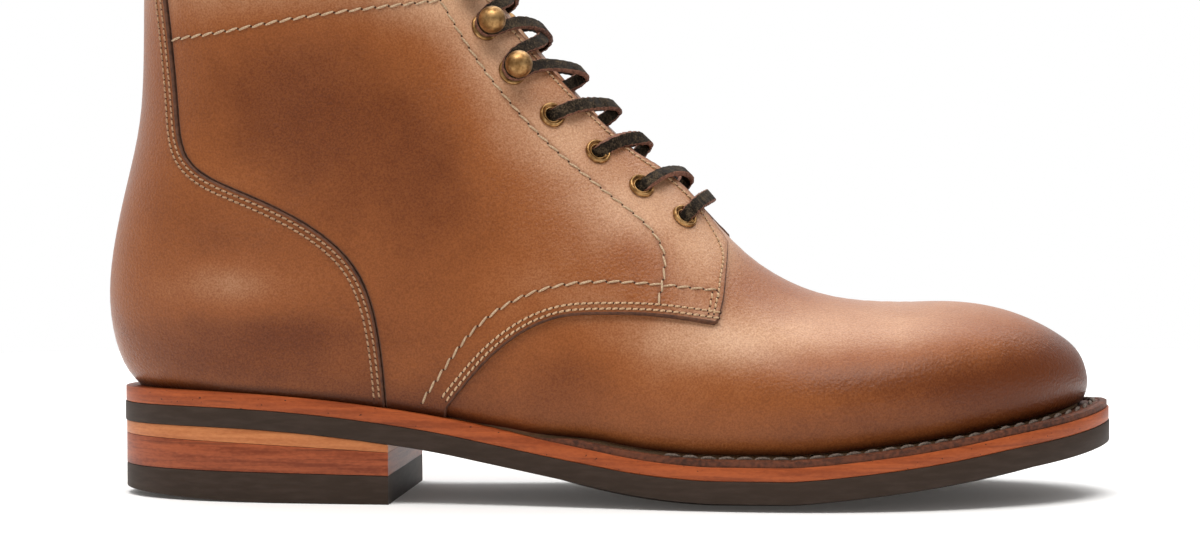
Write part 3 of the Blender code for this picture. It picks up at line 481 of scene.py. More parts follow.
# How the light of the surroundings fades along an axis: from one place to another, and the light at both
SKY_FADES = (("Y", -0.75, 0.25, 0.45, 1.0), ("X", 0.1, 0.8, 1.0, 0.45))

FLOOR_RADIUS, FLOOR_SIDES = 700.0, 128
FLOOR_COLOURS = (0.94, 0.935, 0.93), (0.96, 0.955, 0.95)
FLOOR_GLOW, FLOOR_GLOW_COLOUR = 0.045, (1.0, 0.93, 0.87, 1.0)

# Area lights: name, place, point they face, width, height, watts and colour
LIGHTS = (
    ("key", (120.0, -420.0, 1150.0), (160.0, 0.0, 60.0), 1000.0, 420.0, 11.0, (1.0, 0.985, 0.96)),
    ("back", (150.0, 450.0, 900.0), (150.0, 380.0, 0.0), 1400.0, 500.0, 7.0, (1.0, 1.0, 1.0)),
)


def spline(knots, rows):
    """Natural cubic spline through the rows, as a function of the knots."""
    knots = np.asarray(knots, float)
    rows = np.asarray(rows, float).reshape(len(knots), -1)
    step = np.diff(knots)
    slope = np.diff(rows, axis=0) / step[:, None]
    system = np.eye(len(knots))
    right = np.zeros_like(rows)
    for i in range(1, len(knots) - 1):
        system[i, i - 1 : i + 2] = step[i - 1], 2 * (step[i - 1] + step[i]), step[i]
        right[i] = 6 * (slope[i] - slope[i - 1])
    bend = np.linalg.solve(system, right)

    def at(t):
        t = np.clip(np.atleast_1d(np.asarray(t, float)), knots[0], knots[-1])
        i = np.clip(np.searchsorted(knots, t, side="right") - 1, 0, len(step) - 1)
        width = step[i][:, None]
        a = (knots[i + 1] - t)[:, None] / width
        b = 1 - a
        curve = ((a**3 - a) * bend[i] + (b**3 - b) * bend[i + 1]) * width**2 / 6
        return a * rows[i] + b * rows[i + 1] + curve

    return at


def along(points):
    """Running length at each point of a chain."""
    steps = np.linalg.norm(np.diff(points, axis=0), axis=1)
    return np.concatenate([[0.0], np.cumsum(steps)])


def at_lengths(places, length, table):
    """Rows of a table, read at places on its running length."""
    return np.column_stack([np.interp(places, length, column) for column in table.T])


def ease(x, start, end):
    """0 before start, 1 after end, smooth between."""
    share = np.clip((np.asarray(x, float) - start) / (end - start), 0, 1)
    return share * share * (3 - 2 * share)


def unit(vectors):
    return vectors / np.maximum(np.linalg.norm(vectors, axis=-1, keepdims=True), 1e-9)


# Sole plan


def sole_loop():
    """Control points of the outsole's plan: heel tip, outer side, toe tip and inner side."""
    lateral = [(x, y) for x, y, _ in SOLE_ROWS]
    medial = [(x, y) for x, _, y in reversed(SOLE_ROWS)]
    return np.array([(0.0, 0.0), *lateral, (SOLE_LENGTH, TOE_TIP_Y), *medial])


LOOP = sole_loop()
WRAP = 4
_closed = np.vstack([LOOP[-WRAP:], LOOP, LOOP[: WRAP + 1]])
_length = along(_closed)
_length = _length - _length[WRAP]
LOOP_AT = _length[WRAP : WRAP + len(LOOP)]
LOOP_LENGTH = _length[WRAP + len(LOOP)]
TOE_AT = LOOP_AT[len(SOLE_ROWS) + 1]
_plan = spline(_length, _closed)


def plan(t, inset=0.0):
    """Points of the sole plan at loop length t, moved inwards by inset."""
    t = np.asarray(t, float)
    tangent = unit(_plan(t + 0.05) - _plan(t - 0.05))
    inward = np.stack([-tangent[:, 1], tangent[:, 0]], axis=1)
    centre = np.array([SOLE_LENGTH / 2, 0.0])
    points = _plan(t)
    inward *= np.sign(np.sum(inward * unit(centre - points), axis=1))[:, None]
    return points + inward * np.reshape(inset, (-1, 1))


def feather_inset(t):
    return spline(*zip(*FEATHER_ROWS))(_plan(t)[:, 0])[:, 0]


_side_t = np.linspace(0, TOE_AT, 400)
_lateral_side = _plan(_side_t)
_medial_side = _plan(LOOP_LENGTH - _side_t * (LOOP_LENGTH - TOE_AT) / TOE_AT)
_tread = spline(*zip(*TREAD_ROWS))


def tread(x, y):
    """Height of the tread: the side view's curve, with edges that rise from the middle at the ball."""
    x, y = np.asarray(x, float), np.asarray(y, float)
    low = np.interp(x, _lateral_side[:, 0], _lateral_side[:, 1])
    high = np.interp(x, _medial_side[:, 0], _medial_side[:, 1])
    share = np.clip((2 * y - low - high) / np.maximum(high - low, 1.0), -1, 1)
    dome = SOLE_DOME * ease(x, DOME_START, DOME_FULL) * ease(x, SOLE_LENGTH, DOME_FADE)
    edge = np.clip((abs(share) - FLAT_SHARE) / (1 - FLAT_SHARE), 0, 1)
    return np.maximum(_tread(x.ravel())[:, 0].reshape(x.shape), 0) + dome * edge


def outsole_top(x, y):
    thick = OUTSOLE_THICK + (OUTSOLE_FRONT - OUTSOLE_THICK) * ease(x, FRONT_START, FRONT_FULL)
    return tread(x, y) + thick


def midsole_top(x, y):
    thick = MIDSOLE_THICK + (MIDSOLE_FRONT - MIDSOLE_THICK) * ease(x, FRONT_START, FRONT_FULL)
    return outsole_top(x, y) + GAP + thick


def welt_thick(x):
    return WELT_THICK * ease(x, WELT_START, WELT_FULL)


def seat(x, y):
    """Height of the upper's lower edge: on the midsole, or on the welt where that runs."""
    return midsole_top(x, y) + GAP + welt_thick(x) + 2 * GAP * ease(x, WELT_START - 14, WELT_START)


# Form of the upper


def bezier(points, t):
    """Cubic through four arrays of control points, at the shares t."""
    p0, p1, p2, p3 = (p[:, None, :] for p in points)
    t = np.asarray(t, float)
    t = (t if t.ndim == 2 else t[None, :])[..., None]
    return p0 * (1 - t) ** 3 + 3 * p1 * t * (1 - t) ** 2 + 3 * p2 * t**2 * (1 - t) + p3 * t**3


class Form:
    """The last and leg as one surface: sections run from the lower edge or back, over the ridge and down."""

    def __init__(self):
        foot_t = [LOOP_AT[row[0] + 1] for row in FOOT_ROWS]
        mirror_t = [LOOP_AT[len(LOOP) - 1 - row[0]] for row in FOOT_ROWS]
        lat = plan(np.array([TOE_AT, *foot_t, 0.0]), feather_inset([TOE_AT, *foot_t, 0.0]))
        med = plan(np.array([TOE_AT, *mirror_t, 0.0]), feather_inset([TOE_AT, *mirror_t, 0.0]))
        tip_z = float(seat(*lat[0][:, None])[0])
        ridge, side_lat, side_med, full = [], [], [], []
        tip = (lat[0][0], lat[0][1], tip_z)
        ridge.append(tip)
        side_lat.append(tip)
        side_med.append(tip)
        full.append(FOOT_ROWS[0][-1])
        for row, low, high in zip(FOOT_ROWS, lat[1:], med[1:]):
            _, x, z, y, share, out_lat, out_med, fullness = row
            for chain, start, out in ((side_lat, low, out_lat), (side_med, high, out_med)):
                base_z = float(seat(*start[:, None])[0])
                chain.append((start[0] + share * (x - start[0]), out, base_z + share * (z - base_z)))
            ridge.append((x, y, z))
            full.append(fullness)
        self.heel = len(ridge)
        back = []
        for back_x, back_z, x, z, share, half_lat, half_med, fullness in LEG_ROWS:
            back.append((back_x, 0.0, back_z))
            ridge.append((x, 0.0, z))
            side_lat.append((back_x + share * (x - back_x), -half_lat, back_z + share * (z - back_z)))
            side_med.append((back_x + share * (x - back_x), half_med, back_z + share * (z - back_z)))
            full.append(fullness)
        ridge, side_lat, side_med = (np.array(p) for p in (ridge, side_lat, side_med))
        steps = along(ridge) * 0.5 + along(side_lat) * 0.5
        self.knots = steps
        self.heel_at, self.collar_at = steps[self.heel], steps[self.heel + COLLAR_ROW]
        lat[-1] = med[-1] = back[0][:2]
        self.ridge = self._from_tip(ridge)
        self.side_lat = self._from_tip(side_lat)
        self.side_med = self._from_tip(side_med)
        self.full = spline(steps, full)
        foot = steps[: self.heel + 1]
        self.low_lat = self._both_ends(foot, lat)
        self.low_med = self._both_ends(foot, med)
        self.back = spline(steps[self.heel :], back)
        low = (self.lower(steps, self.low_lat) + self.lower(steps, self.low_med)) / 2
        axes = unit((ridge - low) * (1, 0, 1))
        axes[0] = axes[1]
        self.axis = spline(steps, axes)

    def _from_tip(self, rows):
        """Spline whose toe end closes round: a row is mirrored ahead of the tip."""
        ahead = 2 * rows[0] - rows[1]
        ahead[0] = rows[1][0]
        return spline([-self.knots[1], *self.knots], np.vstack([ahead, rows]))

    def _both_ends(self, knots, rows):
        """Plan chain from toe tip to heel tip that closes round at both ends."""
        ahead, behind = 2 * rows[0] - rows[1], 2 * rows[-1] - rows[-2]
        ahead[0], behind[0] = rows[1][0], rows[-2][0]
        ends = [-knots[1], *knots, 2 * knots[-1] - knots[-2]]
        return spline(ends, np.vstack([ahead, rows, behind]))

    def lower(self, s, chain):
        """Where a section starts: on the sole's edge along the foot, on the back line up the leg."""
        edge = chain(np.minimum(s, self.heel_at))
        on_sole = np.column_stack([edge, seat(edge[:, 0], edge[:, 1])])
        on_leg = self.back(np.maximum(s, self.heel_at))
        return np.where((s < self.heel_at - 1e-6)[:, None], on_sole, on_leg)

    def half(self, s, chain, side, low, high):
        """One side of each section: an ellipse from the sole to its widest point, then a shoulder."""
        start, wide, top = self.lower(s, chain), side(s), self.ridge(s)
        middle = (self.side_lat(s) + self.side_med(s))[:, 1] / 2
        half_wide = np.maximum(abs(wide[:, 1] - middle), 1e-6)
        sine = np.where(half_wide < 1, TIP_SINE, np.clip(abs(start[:, 1] - middle) / half_wide, 0, TIP_SINE))
        sine = np.where(s < self.heel_at - 1e-6, sine, 0)[:, None]
        cosine = np.sqrt(1 - sine**2)
        handle = 4 / 3 * np.tan((math.pi / 2 - np.arcsin(sine)) / 4)
        full, handle = self.full(s), BACK_FULL * handle
        axis = unit(self.axis(s))
        rise = axis * np.sum((wide - start) * axis, axis=1, keepdims=True)
        fall = axis * np.sum((top - wide) * axis, axis=1, keepdims=True)
        first = cosine / (1 - sine) * (wide - start - rise) + sine / cosine * rise
        below = bezier((start, start + handle * first, wide - handle / cosine * rise, wide), low)
        above = bezier((wide, wide + full * fall, top + full * (wide - top + fall), top), high)
        return np.concatenate([below, above[:, 1:]], axis=1)

    def grid(self, s, low_steps, high_steps):
        """Points of the surface, a row for each section, from the outer lower end over the ridge."""
        low, high = np.linspace(0, 1, low_steps + 1), np.linspace(0, 1, high_steps + 1)
        outer = self.half(s, self.low_lat, self.side_lat, low, high)
        inner = self.half(s, self.low_med, self.side_med, low, high)
        return np.concatenate([outer, inner[:, -2::-1]], axis=1)

    def normals(self, s, low_steps, high_steps):
        """Outward direction at each point of the grid with the same steps."""
        fine = 8
        here = self.grid(s, low_steps * fine, high_steps * fine)
        ring = s >= self.heel_at - 1e-6
        before = np.maximum(s - NEAR, np.where(ring, self.heel_at, 0))
        after = np.minimum(s + NEAR, np.where(ring, self.knots[-1], self.heel_at - 1e-5))
        along_s = self.grid(after, low_steps * fine, high_steps * fine)
        along_s = along_s - self.grid(before, low_steps * fine, high_steps * fine)
        around = np.gradient(here, axis=1)
        seam = here[:, 1] - here[:, -2]
        around[ring, 0] = around[ring, -1] = seam[ring]
        out = unit(np.cross(around, along_s))[:, ::fine]
        mean = unit(out[:, 0] + out[:, -1])
        out[ring, 0] = out[ring, -1] = mean[ring]
        out[s < 1e-6] = (1, 0, 0)
        return out


FORM = Form()


def stations(first, last, widest):
    """Section places from first to last: every row of the tables, and more where rows are far apart."""
    inside = FORM.knots[(FORM.knots > first + 1e-6) & (FORM.knots < last - 1e-6)]
    ends = np.concatenate([[first], inside, [last]])
    fine = [np.linspace(a, b, math.ceil((b - a) / widest) + 1)[:-1] for a, b in zip(ends, ends[1:])]
    return np.concatenate([*fine, [last]])


# Mesh helpers


def add_piece(name, mesh, slot, nodes=()):
    """Puts a mesh in the scene as a piece of the boot that stands for CAD nodes."""
    obj = bpy.data.objects.new(name, mesh)
    bpy.context.scene.collection.objects.link(obj)
    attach(obj, "root")
    if nodes:
        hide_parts(*nodes)


def to_mesh(name, points, faces, materials, face_slots=None, normals=None, values=None):
    """Smooth mesh from points in millimetres, with optional vertex normals and named vertex values."""
    mesh = bpy.data.meshes.new(name)
    mesh.from_pydata(((np.asarray(points) + ORIGIN) * MM).tolist(), [], [list(map(int, f)) for f in faces])
    for material in materials:
        mesh.materials.append(material)
    if face_slots is not None:
        mesh.polygons.foreach_set("material_index", np.asarray(face_slots, np.int32))
    mesh.shade_smooth()
    if normals is not None:
        mesh.normals_split_custom_set_from_vertices(normals.tolist())
    for key, numbers in (values or {}).items():
        layer = mesh.attributes.new(key, "FLOAT", "POINT")
        layer.data.foreach_set("value", np.asarray(numbers, np.float32))
    return mesh


def welded(mesh, sharp_deg=40):
    """Joins doubled points, drops collapsed faces, turns faces out and marks sharp edges."""
    bm = bmesh.new()
    bm.from_mesh(mesh)
    bmesh.ops.remove_doubles(bm, verts=bm.verts, dist=1e-6)
    bmesh.ops.dissolve_degenerate(bm, edges=bm.edges, dist=1e-7)
    bmesh.ops.recalc_face_normals(bm, faces=bm.faces)
    bm.to_mesh(mesh)
    bm.free()
    mesh.set_sharp_from_angle(angle=math.radians(sharp_deg))
    return mesh


def strip(first, second):
    """Quads between two chains of point numbers."""
    return [(a, b, d, c) for a, b, c, d in zip(first, first[1:], second, second[1:])]


def grid_faces(numbers):
    return [quad for first, second in zip(numbers, numbers[1:]) for quad in strip(first, second)]


def tube_faces(count, sides):
    """Faces round a chain of rings with so many sides each, with a cap at both ends."""
    numbers = np.arange(count * sides).reshape(count, sides)
    return grid_faces(np.hstack([numbers, numbers[:, :1]])) + [tuple(numbers[0][::-1]), tuple(numbers[-1])]


def joined(shapes):
    """Points and faces of several shapes as one."""
    points, faces, first = [], [], 0
    for more, more_faces in shapes:
        points.append(more)
        faces += [tuple(i + first for i in f) for f in more_faces]
        first += len(more)
    return np.vstack(points), faces


def smooth_line(points, count):
    """Evenly spaced points on a smooth line through a few."""
    points = np.array(points, float)
    length = along(points)
    fine = spline(length, points)(np.linspace(0, length[-1], 8 * count))
    length = along(fine)
    return at_lengths(np.linspace(0, length[-1], count), length, fine)


def beside(line, by):
    """A line in side view moved to its left by a distance."""
    step = unit(np.gradient(np.asarray(line, float), axis=0))
    return line + np.column_stack([-step[:, 1], step[:, 0]]) * by


# Leather sheets: a fine grid of the form, cut along outlines, with round raw edges


def crease_depth(points):
    """How far the listed troughs pull each point in."""
    depth = np.zeros(len(points))
    flat = points[:, (0, 2)]
    for side, start, middle, end, width, deep in CREASES:
        line = smooth_line((start, middle, end), 25)
        gaps = np.linalg.norm(flat[:, None, :] - line[None], axis=2)
        nearest = np.argmin(gaps, axis=1)
        taper = np.sin(math.pi * (nearest + 0.5) / len(line))
        own_side = ease(points[:, 1] * side, 0, CREASE_FADE) if side else 1.0
        depth += deep * taper * own_side * np.exp(-((gaps.min(axis=1) / width) ** 2))
    return depth


def triangles(ids):
    """Two triangles for each cell of a grid of point numbers, without collapsed ones."""
    a, b, c, d = ids[:-1, :-1], ids[1:, :-1], ids[1:, 1:], ids[:-1, 1:]
    halves = (a, b, c), (a, c, d)
    tris = np.concatenate([np.stack(corners, axis=-1).reshape(-1, 3) for corners in halves])
    whole = (tris[:, 0] != tris[:, 1]) & (tris[:, 1] != tris[:, 2]) & (tris[:, 2] != tris[:, 0])
    return tris[whole]


def facing_out(points, normals, tris):
    """The same triangles, turned so that they face along the normals."""
    corner = points[tris]
    face = np.cross(corner[:, 1] - corner[:, 0], corner[:, 2] - corner[:, 0])
    return tris if np.sum(face * normals[tris[:, 0]]) > 0 else tris[:, ::-1]


def height_over_sole(points):
    return points[:, 2] - seat(points[:, 0], points[:, 1])


def tucked(points, normals):
    """Rolls the lowest few millimetres of the leather in towards the sole."""
    share = np.clip(1 - height_over_sole(points) / TUCK_HEIGHT, 0, 1)[:, None]
    rise = unit(np.array((0.0, 0.0, 1.0)) - normals * normals[:, 2:])
    slope = 2 * TUCK_DEPTH / TUCK_HEIGHT * share
    return points - normals * TUCK_DEPTH * share**2, unit(normals - rise * slope)


def boot_sheet():
    """Points, outward directions and triangles of the whole form."""
    s = stations(0.0, FORM.collar_at, FINE_GAP)
    grid = FORM.grid(s, FINE_LOW, FINE_HIGH)
    out = FORM.normals(s, FINE_LOW, FINE_HIGH)
    ids = np.arange(grid.shape[0] * grid.shape[1]).reshape(grid.shape[:2])
    ids[0] = ids[0, 0]
    ring = s >= FORM.heel_at - 1e-6
    ids[ring, -1] = ids[ring, 0]
    points, normals = grid.reshape(-1, 3), out.reshape(-1, 3)
    points = points - normals * crease_depth(points)[:, None]
    points, normals = tucked(points, normals)
    return points, normals, facing_out(points, normals, triangles(ids))


def clip(points, normals, tris, level):
    """Keeps the part of a sheet where level is below zero, cutting triangles along the line between."""
    inside = level < 0
    count = inside[tris].sum(axis=1)
    faces = [tuple(t) for t in tris[count == 3]]
    extra, cuts = [], {}

    def crossing(a, b):
        key = (min(a, b), max(a, b))
        if key not in cuts:
            share = level[key[0]] / (level[key[0]] - level[key[1]])
            cuts[key] = len(points) + len(extra)
            extra.append((key[0], key[1], share))
        return cuts[key]

    for tri in tris[(count > 0) & (count < 3)]:
        polygon = []
        for a, b in zip(tri, np.roll(tri, -1)):
            if inside[a]:
                polygon.append(a)
            if inside[a] != inside[b]:
                polygon.append(crossing(a, b))
        faces.append(tuple(polygon))
    if extra:
        first, last, share = (np.array(column) for column in zip(*extra))
        share = share[:, None]
        points = np.vstack([points, points[first] * (1 - share) + points[last] * share])
        normals = np.vstack([normals, unit(normals[first] * (1 - share) + normals[last] * share)])
    used = np.unique(np.concatenate([np.array(f) for f in faces]))
    renumber = np.full(len(points), -1)
    renumber[used] = np.arange(len(used))
    return points[used], normals[used], [tuple(int(renumber[i]) for i in f) for f in faces]


def boundary_loops(faces):
    """Closed chains of the edges that only one face has, in that face's direction."""
    edges = {(a, b) for f in faces for a, b in zip(f, f[1:] + f[:1])}
    follow = {a: b for a, b in edges if (b, a) not in edges}
    loops = []
    while follow:
        start, point = follow.popitem()
        loop = [start]
        while point != start and point in follow:
            loop.append(point)
            point = follow.pop(point)
        if len(loop) > 8:
            loops.append(loop)
    return loops


def seam_distance(points, marks):
    """Distance in side view to the nearest stitch line, no more than SEAM_FAR."""
    gap = np.full(len(points), SEAM_FAR)
    for line in marks:
        for p in line:
            gap = np.minimum(gap, np.hypot(points[:, 0] - p[0], points[:, 2] - p[1]))
    return gap


def leather_piece(sheet, field, top, base, radius, marks=()):
    """Closed solid of leather between two heights over a sheet, where field is below zero.

    Its cut edges are rounded by radius. Returns points, faces, face slots, normals and vertex values."""
    level = field(sheet[0]) + radius
    points, normals, faces = clip(*sheet, level)
    count = len(points)
    edge = -field(points)
    seam = seam_distance(points, marks)
    all_points = [points + normals * top, points + normals * base]
    all_normals = [normals, -normals]
    all_edges, all_seams = [edge, edge], [seam, seam]
    all_faces = faces + [tuple(count + i for i in reversed(f)) for f in faces]
    face_slots = [GRAIN_SIDE] * len(faces) + [BACK_SIDE] * len(faces)
    number = 2 * count
    for loop in boundary_loops(faces):
        at, up = points[loop], normals[loop]
        closed = np.vstack([at, at[:1]])
        length = along(closed)

        def near(shift):
            return at_lengths((length[:-1] + shift) % length[-1], length, closed)

        outward = unit(np.cross(near(EDGE_WINDOW) - near(-EDGE_WINDOW), up))
        rings = [np.array(loop)]
        heights = [(angle, top - radius * (1 - math.cos(angle))) for angle in EDGE_ANGLES]
        for angle, height in (*heights, (EDGE_ANGLES[-1], base)):
            all_points.append(at + outward * radius * math.sin(angle) + up * height)
            all_normals.append(unit(up * math.cos(angle) + outward * math.sin(angle)))
            all_edges.append(np.zeros(len(loop)))
            all_seams.append(np.full(len(loop), SEAM_FAR))
            rings.append(number + np.arange(len(loop)))
            number += len(loop)
        rings.append(np.array(loop) + count)
        quads = grid_faces([np.append(ring, ring[0]) for ring in rings])
        all_faces += [(b, a, c, d) for a, b, d, c in quads]
        face_slots += [RAW_EDGE] * len(quads)
    points = np.vstack(all_points)
    values = {"edge": np.concatenate(all_edges), "seam": np.concatenate(all_seams)}
    # The tonal areas hold painted highlight and painted shade besides the leather's own tone.
    values.update(tone=tone(points), low=height_over_sole(points))
    return points, all_faces, face_slots, np.vstack(all_normals), values


def tone(points):
    """How much lighter than its mean the leather is at each point, by its own tone and by painted highlight
    and shade.
    """
    lighter = np.zeros(len(points))
    for x, z, reach_x, reach_z, amount in TONE_AND_LIGHT_AREAS:
        away = ((points[:, 0] - x) / reach_x) ** 2 + ((points[:, 2] - z) / reach_z) ** 2
        weaker = amount < 0 and x < LEG_FRONT
        share = np.where(points[:, 1] > 0, INNER_DARK, 1.0) if weaker else 1.0
        lighter += amount * share * np.exp(-away)
    return lighter


def outline_field(outline):
    """Signed distance in side view to a closed outline, below zero inside."""
    corners = np.array(outline, float)

    def field(points):
        flat = points[:, (0, 2)]
        gap, inside = np.full(len(flat), np.inf), np.zeros(len(flat), bool)
        for p, q in zip(corners, np.roll(corners, -1, axis=0)):
            step = q - p
            share = np.clip((flat - p) @ step / (step @ step), 0, 1)
            gap = np.minimum(gap, np.linalg.norm(flat - p - share[:, None] * step, axis=1))
            crosses = (p[1] > flat[:, 1]) != (q[1] > flat[:, 1])
            rise = step[1] if step[1] else 1.0
            inside ^= crosses & (flat[:, 0] < p[0] + (flat[:, 1] - p[1]) / rise * step[0])
        return np.where(inside, -gap, gap)

    return field


class Surface:
    """Looks up points of a sheet: from the side, or nearest to a place."""

    def __init__(self, sheet):
        self.points, self.normals, self.tris = sheet
        self.tree = BVHTree.FromPolygons([Vector(p) for p in self.points], self.tris.tolist())

    def find(self, x, z, side):
        """Point and outward direction at (x, z) in side view."""
        point, _, index, _ = self.tree.ray_cast(Vector((x, side * RAY_START, z)), Vector((0, -side, 0)))
        if point is None:
            point, _, index, _ = self.tree.find_nearest(Vector((x, side * MISSED_Y, z)))
        corner = self.tris[index]
        weight = 1 / (np.linalg.norm(self.points[corner] - np.array(point), axis=1) + 1e-3)
        return np.array(point), unit(weight @ self.normals[corner])

    def nearest(self, place):
        """Point of the sheet nearest to a place, and the outward direction there."""
        point, _, index, _ = self.tree.find_nearest(Vector(place))
        return np.array(point), unit(self.normals[self.tris[index]].mean(axis=0))

    def line(self, flat_line, side, height=0.0):
        """A side-view line laid on the sheet at a height, with its outward directions."""
        return self.raised([self.find(x, z, side) for x, z in flat_line], height)

    def laid(self, places, height):
        """Places moved to the nearest points of the sheet and raised, with the outward directions."""
        return self.raised([self.nearest(place) for place in places], height)

    def raised(self, found, height):
        points, ups = (np.array(part) for part in zip(*found))
        return points + ups * height, ups


def facing_line(side, half_gap, first_z, last_z):
    """Points along a facing at a distance from the middle of the throat, between two heights."""
    grid = FORM.grid(stations(FORM.knots[FACING_FOOT_ROW], FORM.collar_at, FACING_STEP), 4, FACING_COLUMNS)
    middle = grid.shape[1] // 2
    columns = range(middle, middle + side * FACING_COLUMNS, side)
    points = []
    for row in grid:
        wide = [abs(row[c][1]) for c in columns]
        column = middle + side * int(np.searchsorted(wide, half_gap))
        near, far = row[column - side], row[column]
        if first_z <= far[2] <= last_z:
            share = (half_gap - abs(near[1])) / (abs(far[1]) - abs(near[1]))
            points.append(near * (1 - share) + far * share)
    return np.array(points)


# Materials


class Paint:
    """A material under construction: add() makes a node and sets or links its inputs."""

    def __init__(self, name, roughness=0.5, metallic=0.0):
        self.material = bpy.data.materials.new(name)
        self.material.use_nodes = True
        self.tree = self.material.node_tree
        self.shader = self.tree.nodes["Principled BSDF"]
        self.fill(self.shader, {"Roughness": roughness, "Metallic": metallic})
        self.place = self.add("ShaderNodeTexCoord").outputs["Object"]

    def fill(self, node, inputs):
        for key, value in inputs.items():
            if isinstance(value, bpy.types.NodeSocket):
                self.tree.links.new(value, node.inputs[key])
            else:
                node.inputs[key].default_value = value

    def add(self, kind, inputs=None, **settings):
        node = self.tree.nodes.new(kind)
        for key, value in settings.items():
            setattr(node, key, value)
        self.fill(node, inputs or {})
        return node

    def noise(self, scale, detail=3.0, stretch=(1, 1, 1), roughness=0.55):
        """Noise with features of about 1/scale metres, pulled long along an axis by stretch."""
        place = self.add("ShaderNodeMapping", {"Vector": self.place, "Scale": stretch}).outputs[0]
        made = self.add("ShaderNodeTexNoise", {"Vector": place, "Scale": scale, "Detail": detail})
        made.inputs["Roughness"].default_value = roughness
        return made.outputs["Fac"]

    def cells(self, scale):
        return self.add("ShaderNodeTexVoronoi", {"Vector": self.place, "Scale": scale}).outputs["Distance"]

    def value(self, name):
        return self.add("ShaderNodeAttribute", attribute_name=name).outputs["Fac"]

    def spread(self, fac, low, high, to_low=0.0, to_high=1.0):
        """Maps fac from low..high to to_low..to_high, smoothly and clamped."""
        inputs = {"Value": fac, "From Min": low, "From Max": high, "To Min": to_low, "To Max": to_high}
        return self.add("ShaderNodeMapRange", inputs, interpolation_type="SMOOTHSTEP").outputs[0]

    def sum(self, first, second, by=1.0):
        inputs = {0: second, 1: by, 2: first}
        return self.add("ShaderNodeMath", inputs, operation="MULTIPLY_ADD").outputs[0]

    def mix(self, fac, first, second, blend="MIX"):
        made = self.add("ShaderNodeMix", data_type="RGBA", blend_type=blend)
        first, second = (c if isinstance(c, bpy.types.NodeSocket) else (*c, 1) for c in (first, second))
        self.fill(made, {0: fac, 6: first, 7: second})
        return made.outputs[2]

    def bump(self, height, strength, distance_mm, below=None):
        inputs = {"Height": height, "Strength": strength, "Distance": distance_mm * MM}
        if below is not None:
            inputs["Normal"] = below
        return self.add("ShaderNodeBump", inputs).outputs[0]

    def done(self, **sockets):
        self.fill(self.shader, {key.replace("_", " "): value for key, value in sockets.items()})
        return self.material


def upper_leather():
    """Oiled pull-up leather with a fine grain: pale where it is stretched, dark where the wax sits at edges
    and seams;
    its tonal areas also paint highlight and shade, and painted shade darkens it just over the sole.
    """
    paint = Paint("upper_leather", 0.36)
    clouds = paint.sum(paint.noise(28, 4), paint.noise(110, 4), 0.4)
    grain = paint.noise(1900, 2, roughness=0.7)
    # The tonal areas give the leather's own tone together with painted highlight and painted shade.
    shade = paint.sum(paint.sum(paint.value("tone"), clouds, 0.5), grain, 0.4)
    colour = paint.mix(paint.spread(shade, -0.15, 0.65), LEATHER_DARK, LEATHER_MID)
    colour = paint.mix(paint.spread(shade, 0.47, 1.7), colour, LEATHER_LIGHT)
    pores = paint.spread(grain, 0.35, 0.62, 0.6, 0.0)
    colour = paint.mix(pores, colour, PORE_SHADE, "MULTIPLY")
    colour = paint.mix(paint.spread(paint.value("edge"), 0.0, 2.2, 0.5, 0.0), colour, LEATHER_DARK)
    colour = paint.mix(paint.spread(paint.value("seam"), 0.3, 1.5, 0.4, 0.0), colour, LEATHER_DARK)
    # Painted shade in the crevice where the leather meets the sole, darkest just above it.
    colour = paint.mix(paint.spread(paint.value("low"), 0.2, 3.4, 0.85, 0.0), colour, CREVICE_SHADE)
    normal = paint.bump(paint.cells(950), 0.42, 0.3)
    normal = paint.bump(grain, 0.5, 0.3, normal)
    normal = paint.bump(paint.noise(220, 3), 0.12, 0.7, normal)
    rough = paint.spread(paint.sum(clouds, grain, 0.3), 0.35, 1.1, 0.25, 0.38)
    wax = {"Coat_Weight": 0.08, "Coat_Roughness": 0.28}
    return paint.done(Base_Color=colour, Roughness=rough, Normal=normal, Specular_IOR_Level=0.2, **wax)


def plain_leather(name, light, dark, roughness, fibre_scale=700.0):
    """Leather without a finish: raw edges, lining, thread-like fibres."""
    paint = Paint(name, roughness)
    fibre = paint.sum(paint.noise(fibre_scale, 4), paint.noise(60, 3), 0.5)
    colour = paint.mix(paint.spread(fibre, 0.45, 1.0), dark, light)
    return paint.done(Base_Color=colour, Normal=paint.bump(fibre, 0.3, 0.3), Specular_IOR_Level=0.25)


def layered_leather(name, light, dark, streak, nicks=0.0):
    """Edge of stacked or sole leather, streaked along the layers, with a few dark nicks."""
    paint = Paint(name, 0.45)
    streaks = paint.noise(260, 5, (0.12, 0.12, 2.4))
    fine = paint.noise(1100, 3, (0.5, 0.5, 1.5))
    colour = paint.mix(paint.spread(paint.sum(streaks, fine, 0.45), 0.5, 0.95), dark, light)
    deep = paint.spread(paint.noise(240, 4, (0.1, 0.1, 3.0)), 0.56, 0.7, 0.0, streak)
    colour = paint.mix(deep, colour, tuple(0.35 * c for c in dark))
    pits = paint.spread(paint.noise(700, 1, (1.0, 1.0, 1.6)), 0.73, 0.76, 0.0, nicks)
    colour = paint.mix(pits, colour, tuple(0.1 * c for c in dark))
    normal = paint.bump(paint.sum(streaks, fine, 0.6), 0.25, 0.25)
    return paint.done(Base_Color=colour, Normal=normal, Specular_IOR_Level=0.25)


def rubber():
    paint = Paint("dark_rubber", 0.62)
    scuff = paint.noise(420, 5, (0.3, 0.3, 1.6))
    colour = paint.mix(paint.spread(scuff, 0.35, 0.75), (0.032, 0.019, 0.012), (0.045, 0.028, 0.02))
    return paint.done(Base_Color=colour, Normal=paint.bump(scuff, 0.15, 0.2), Specular_IOR_Level=0.2)


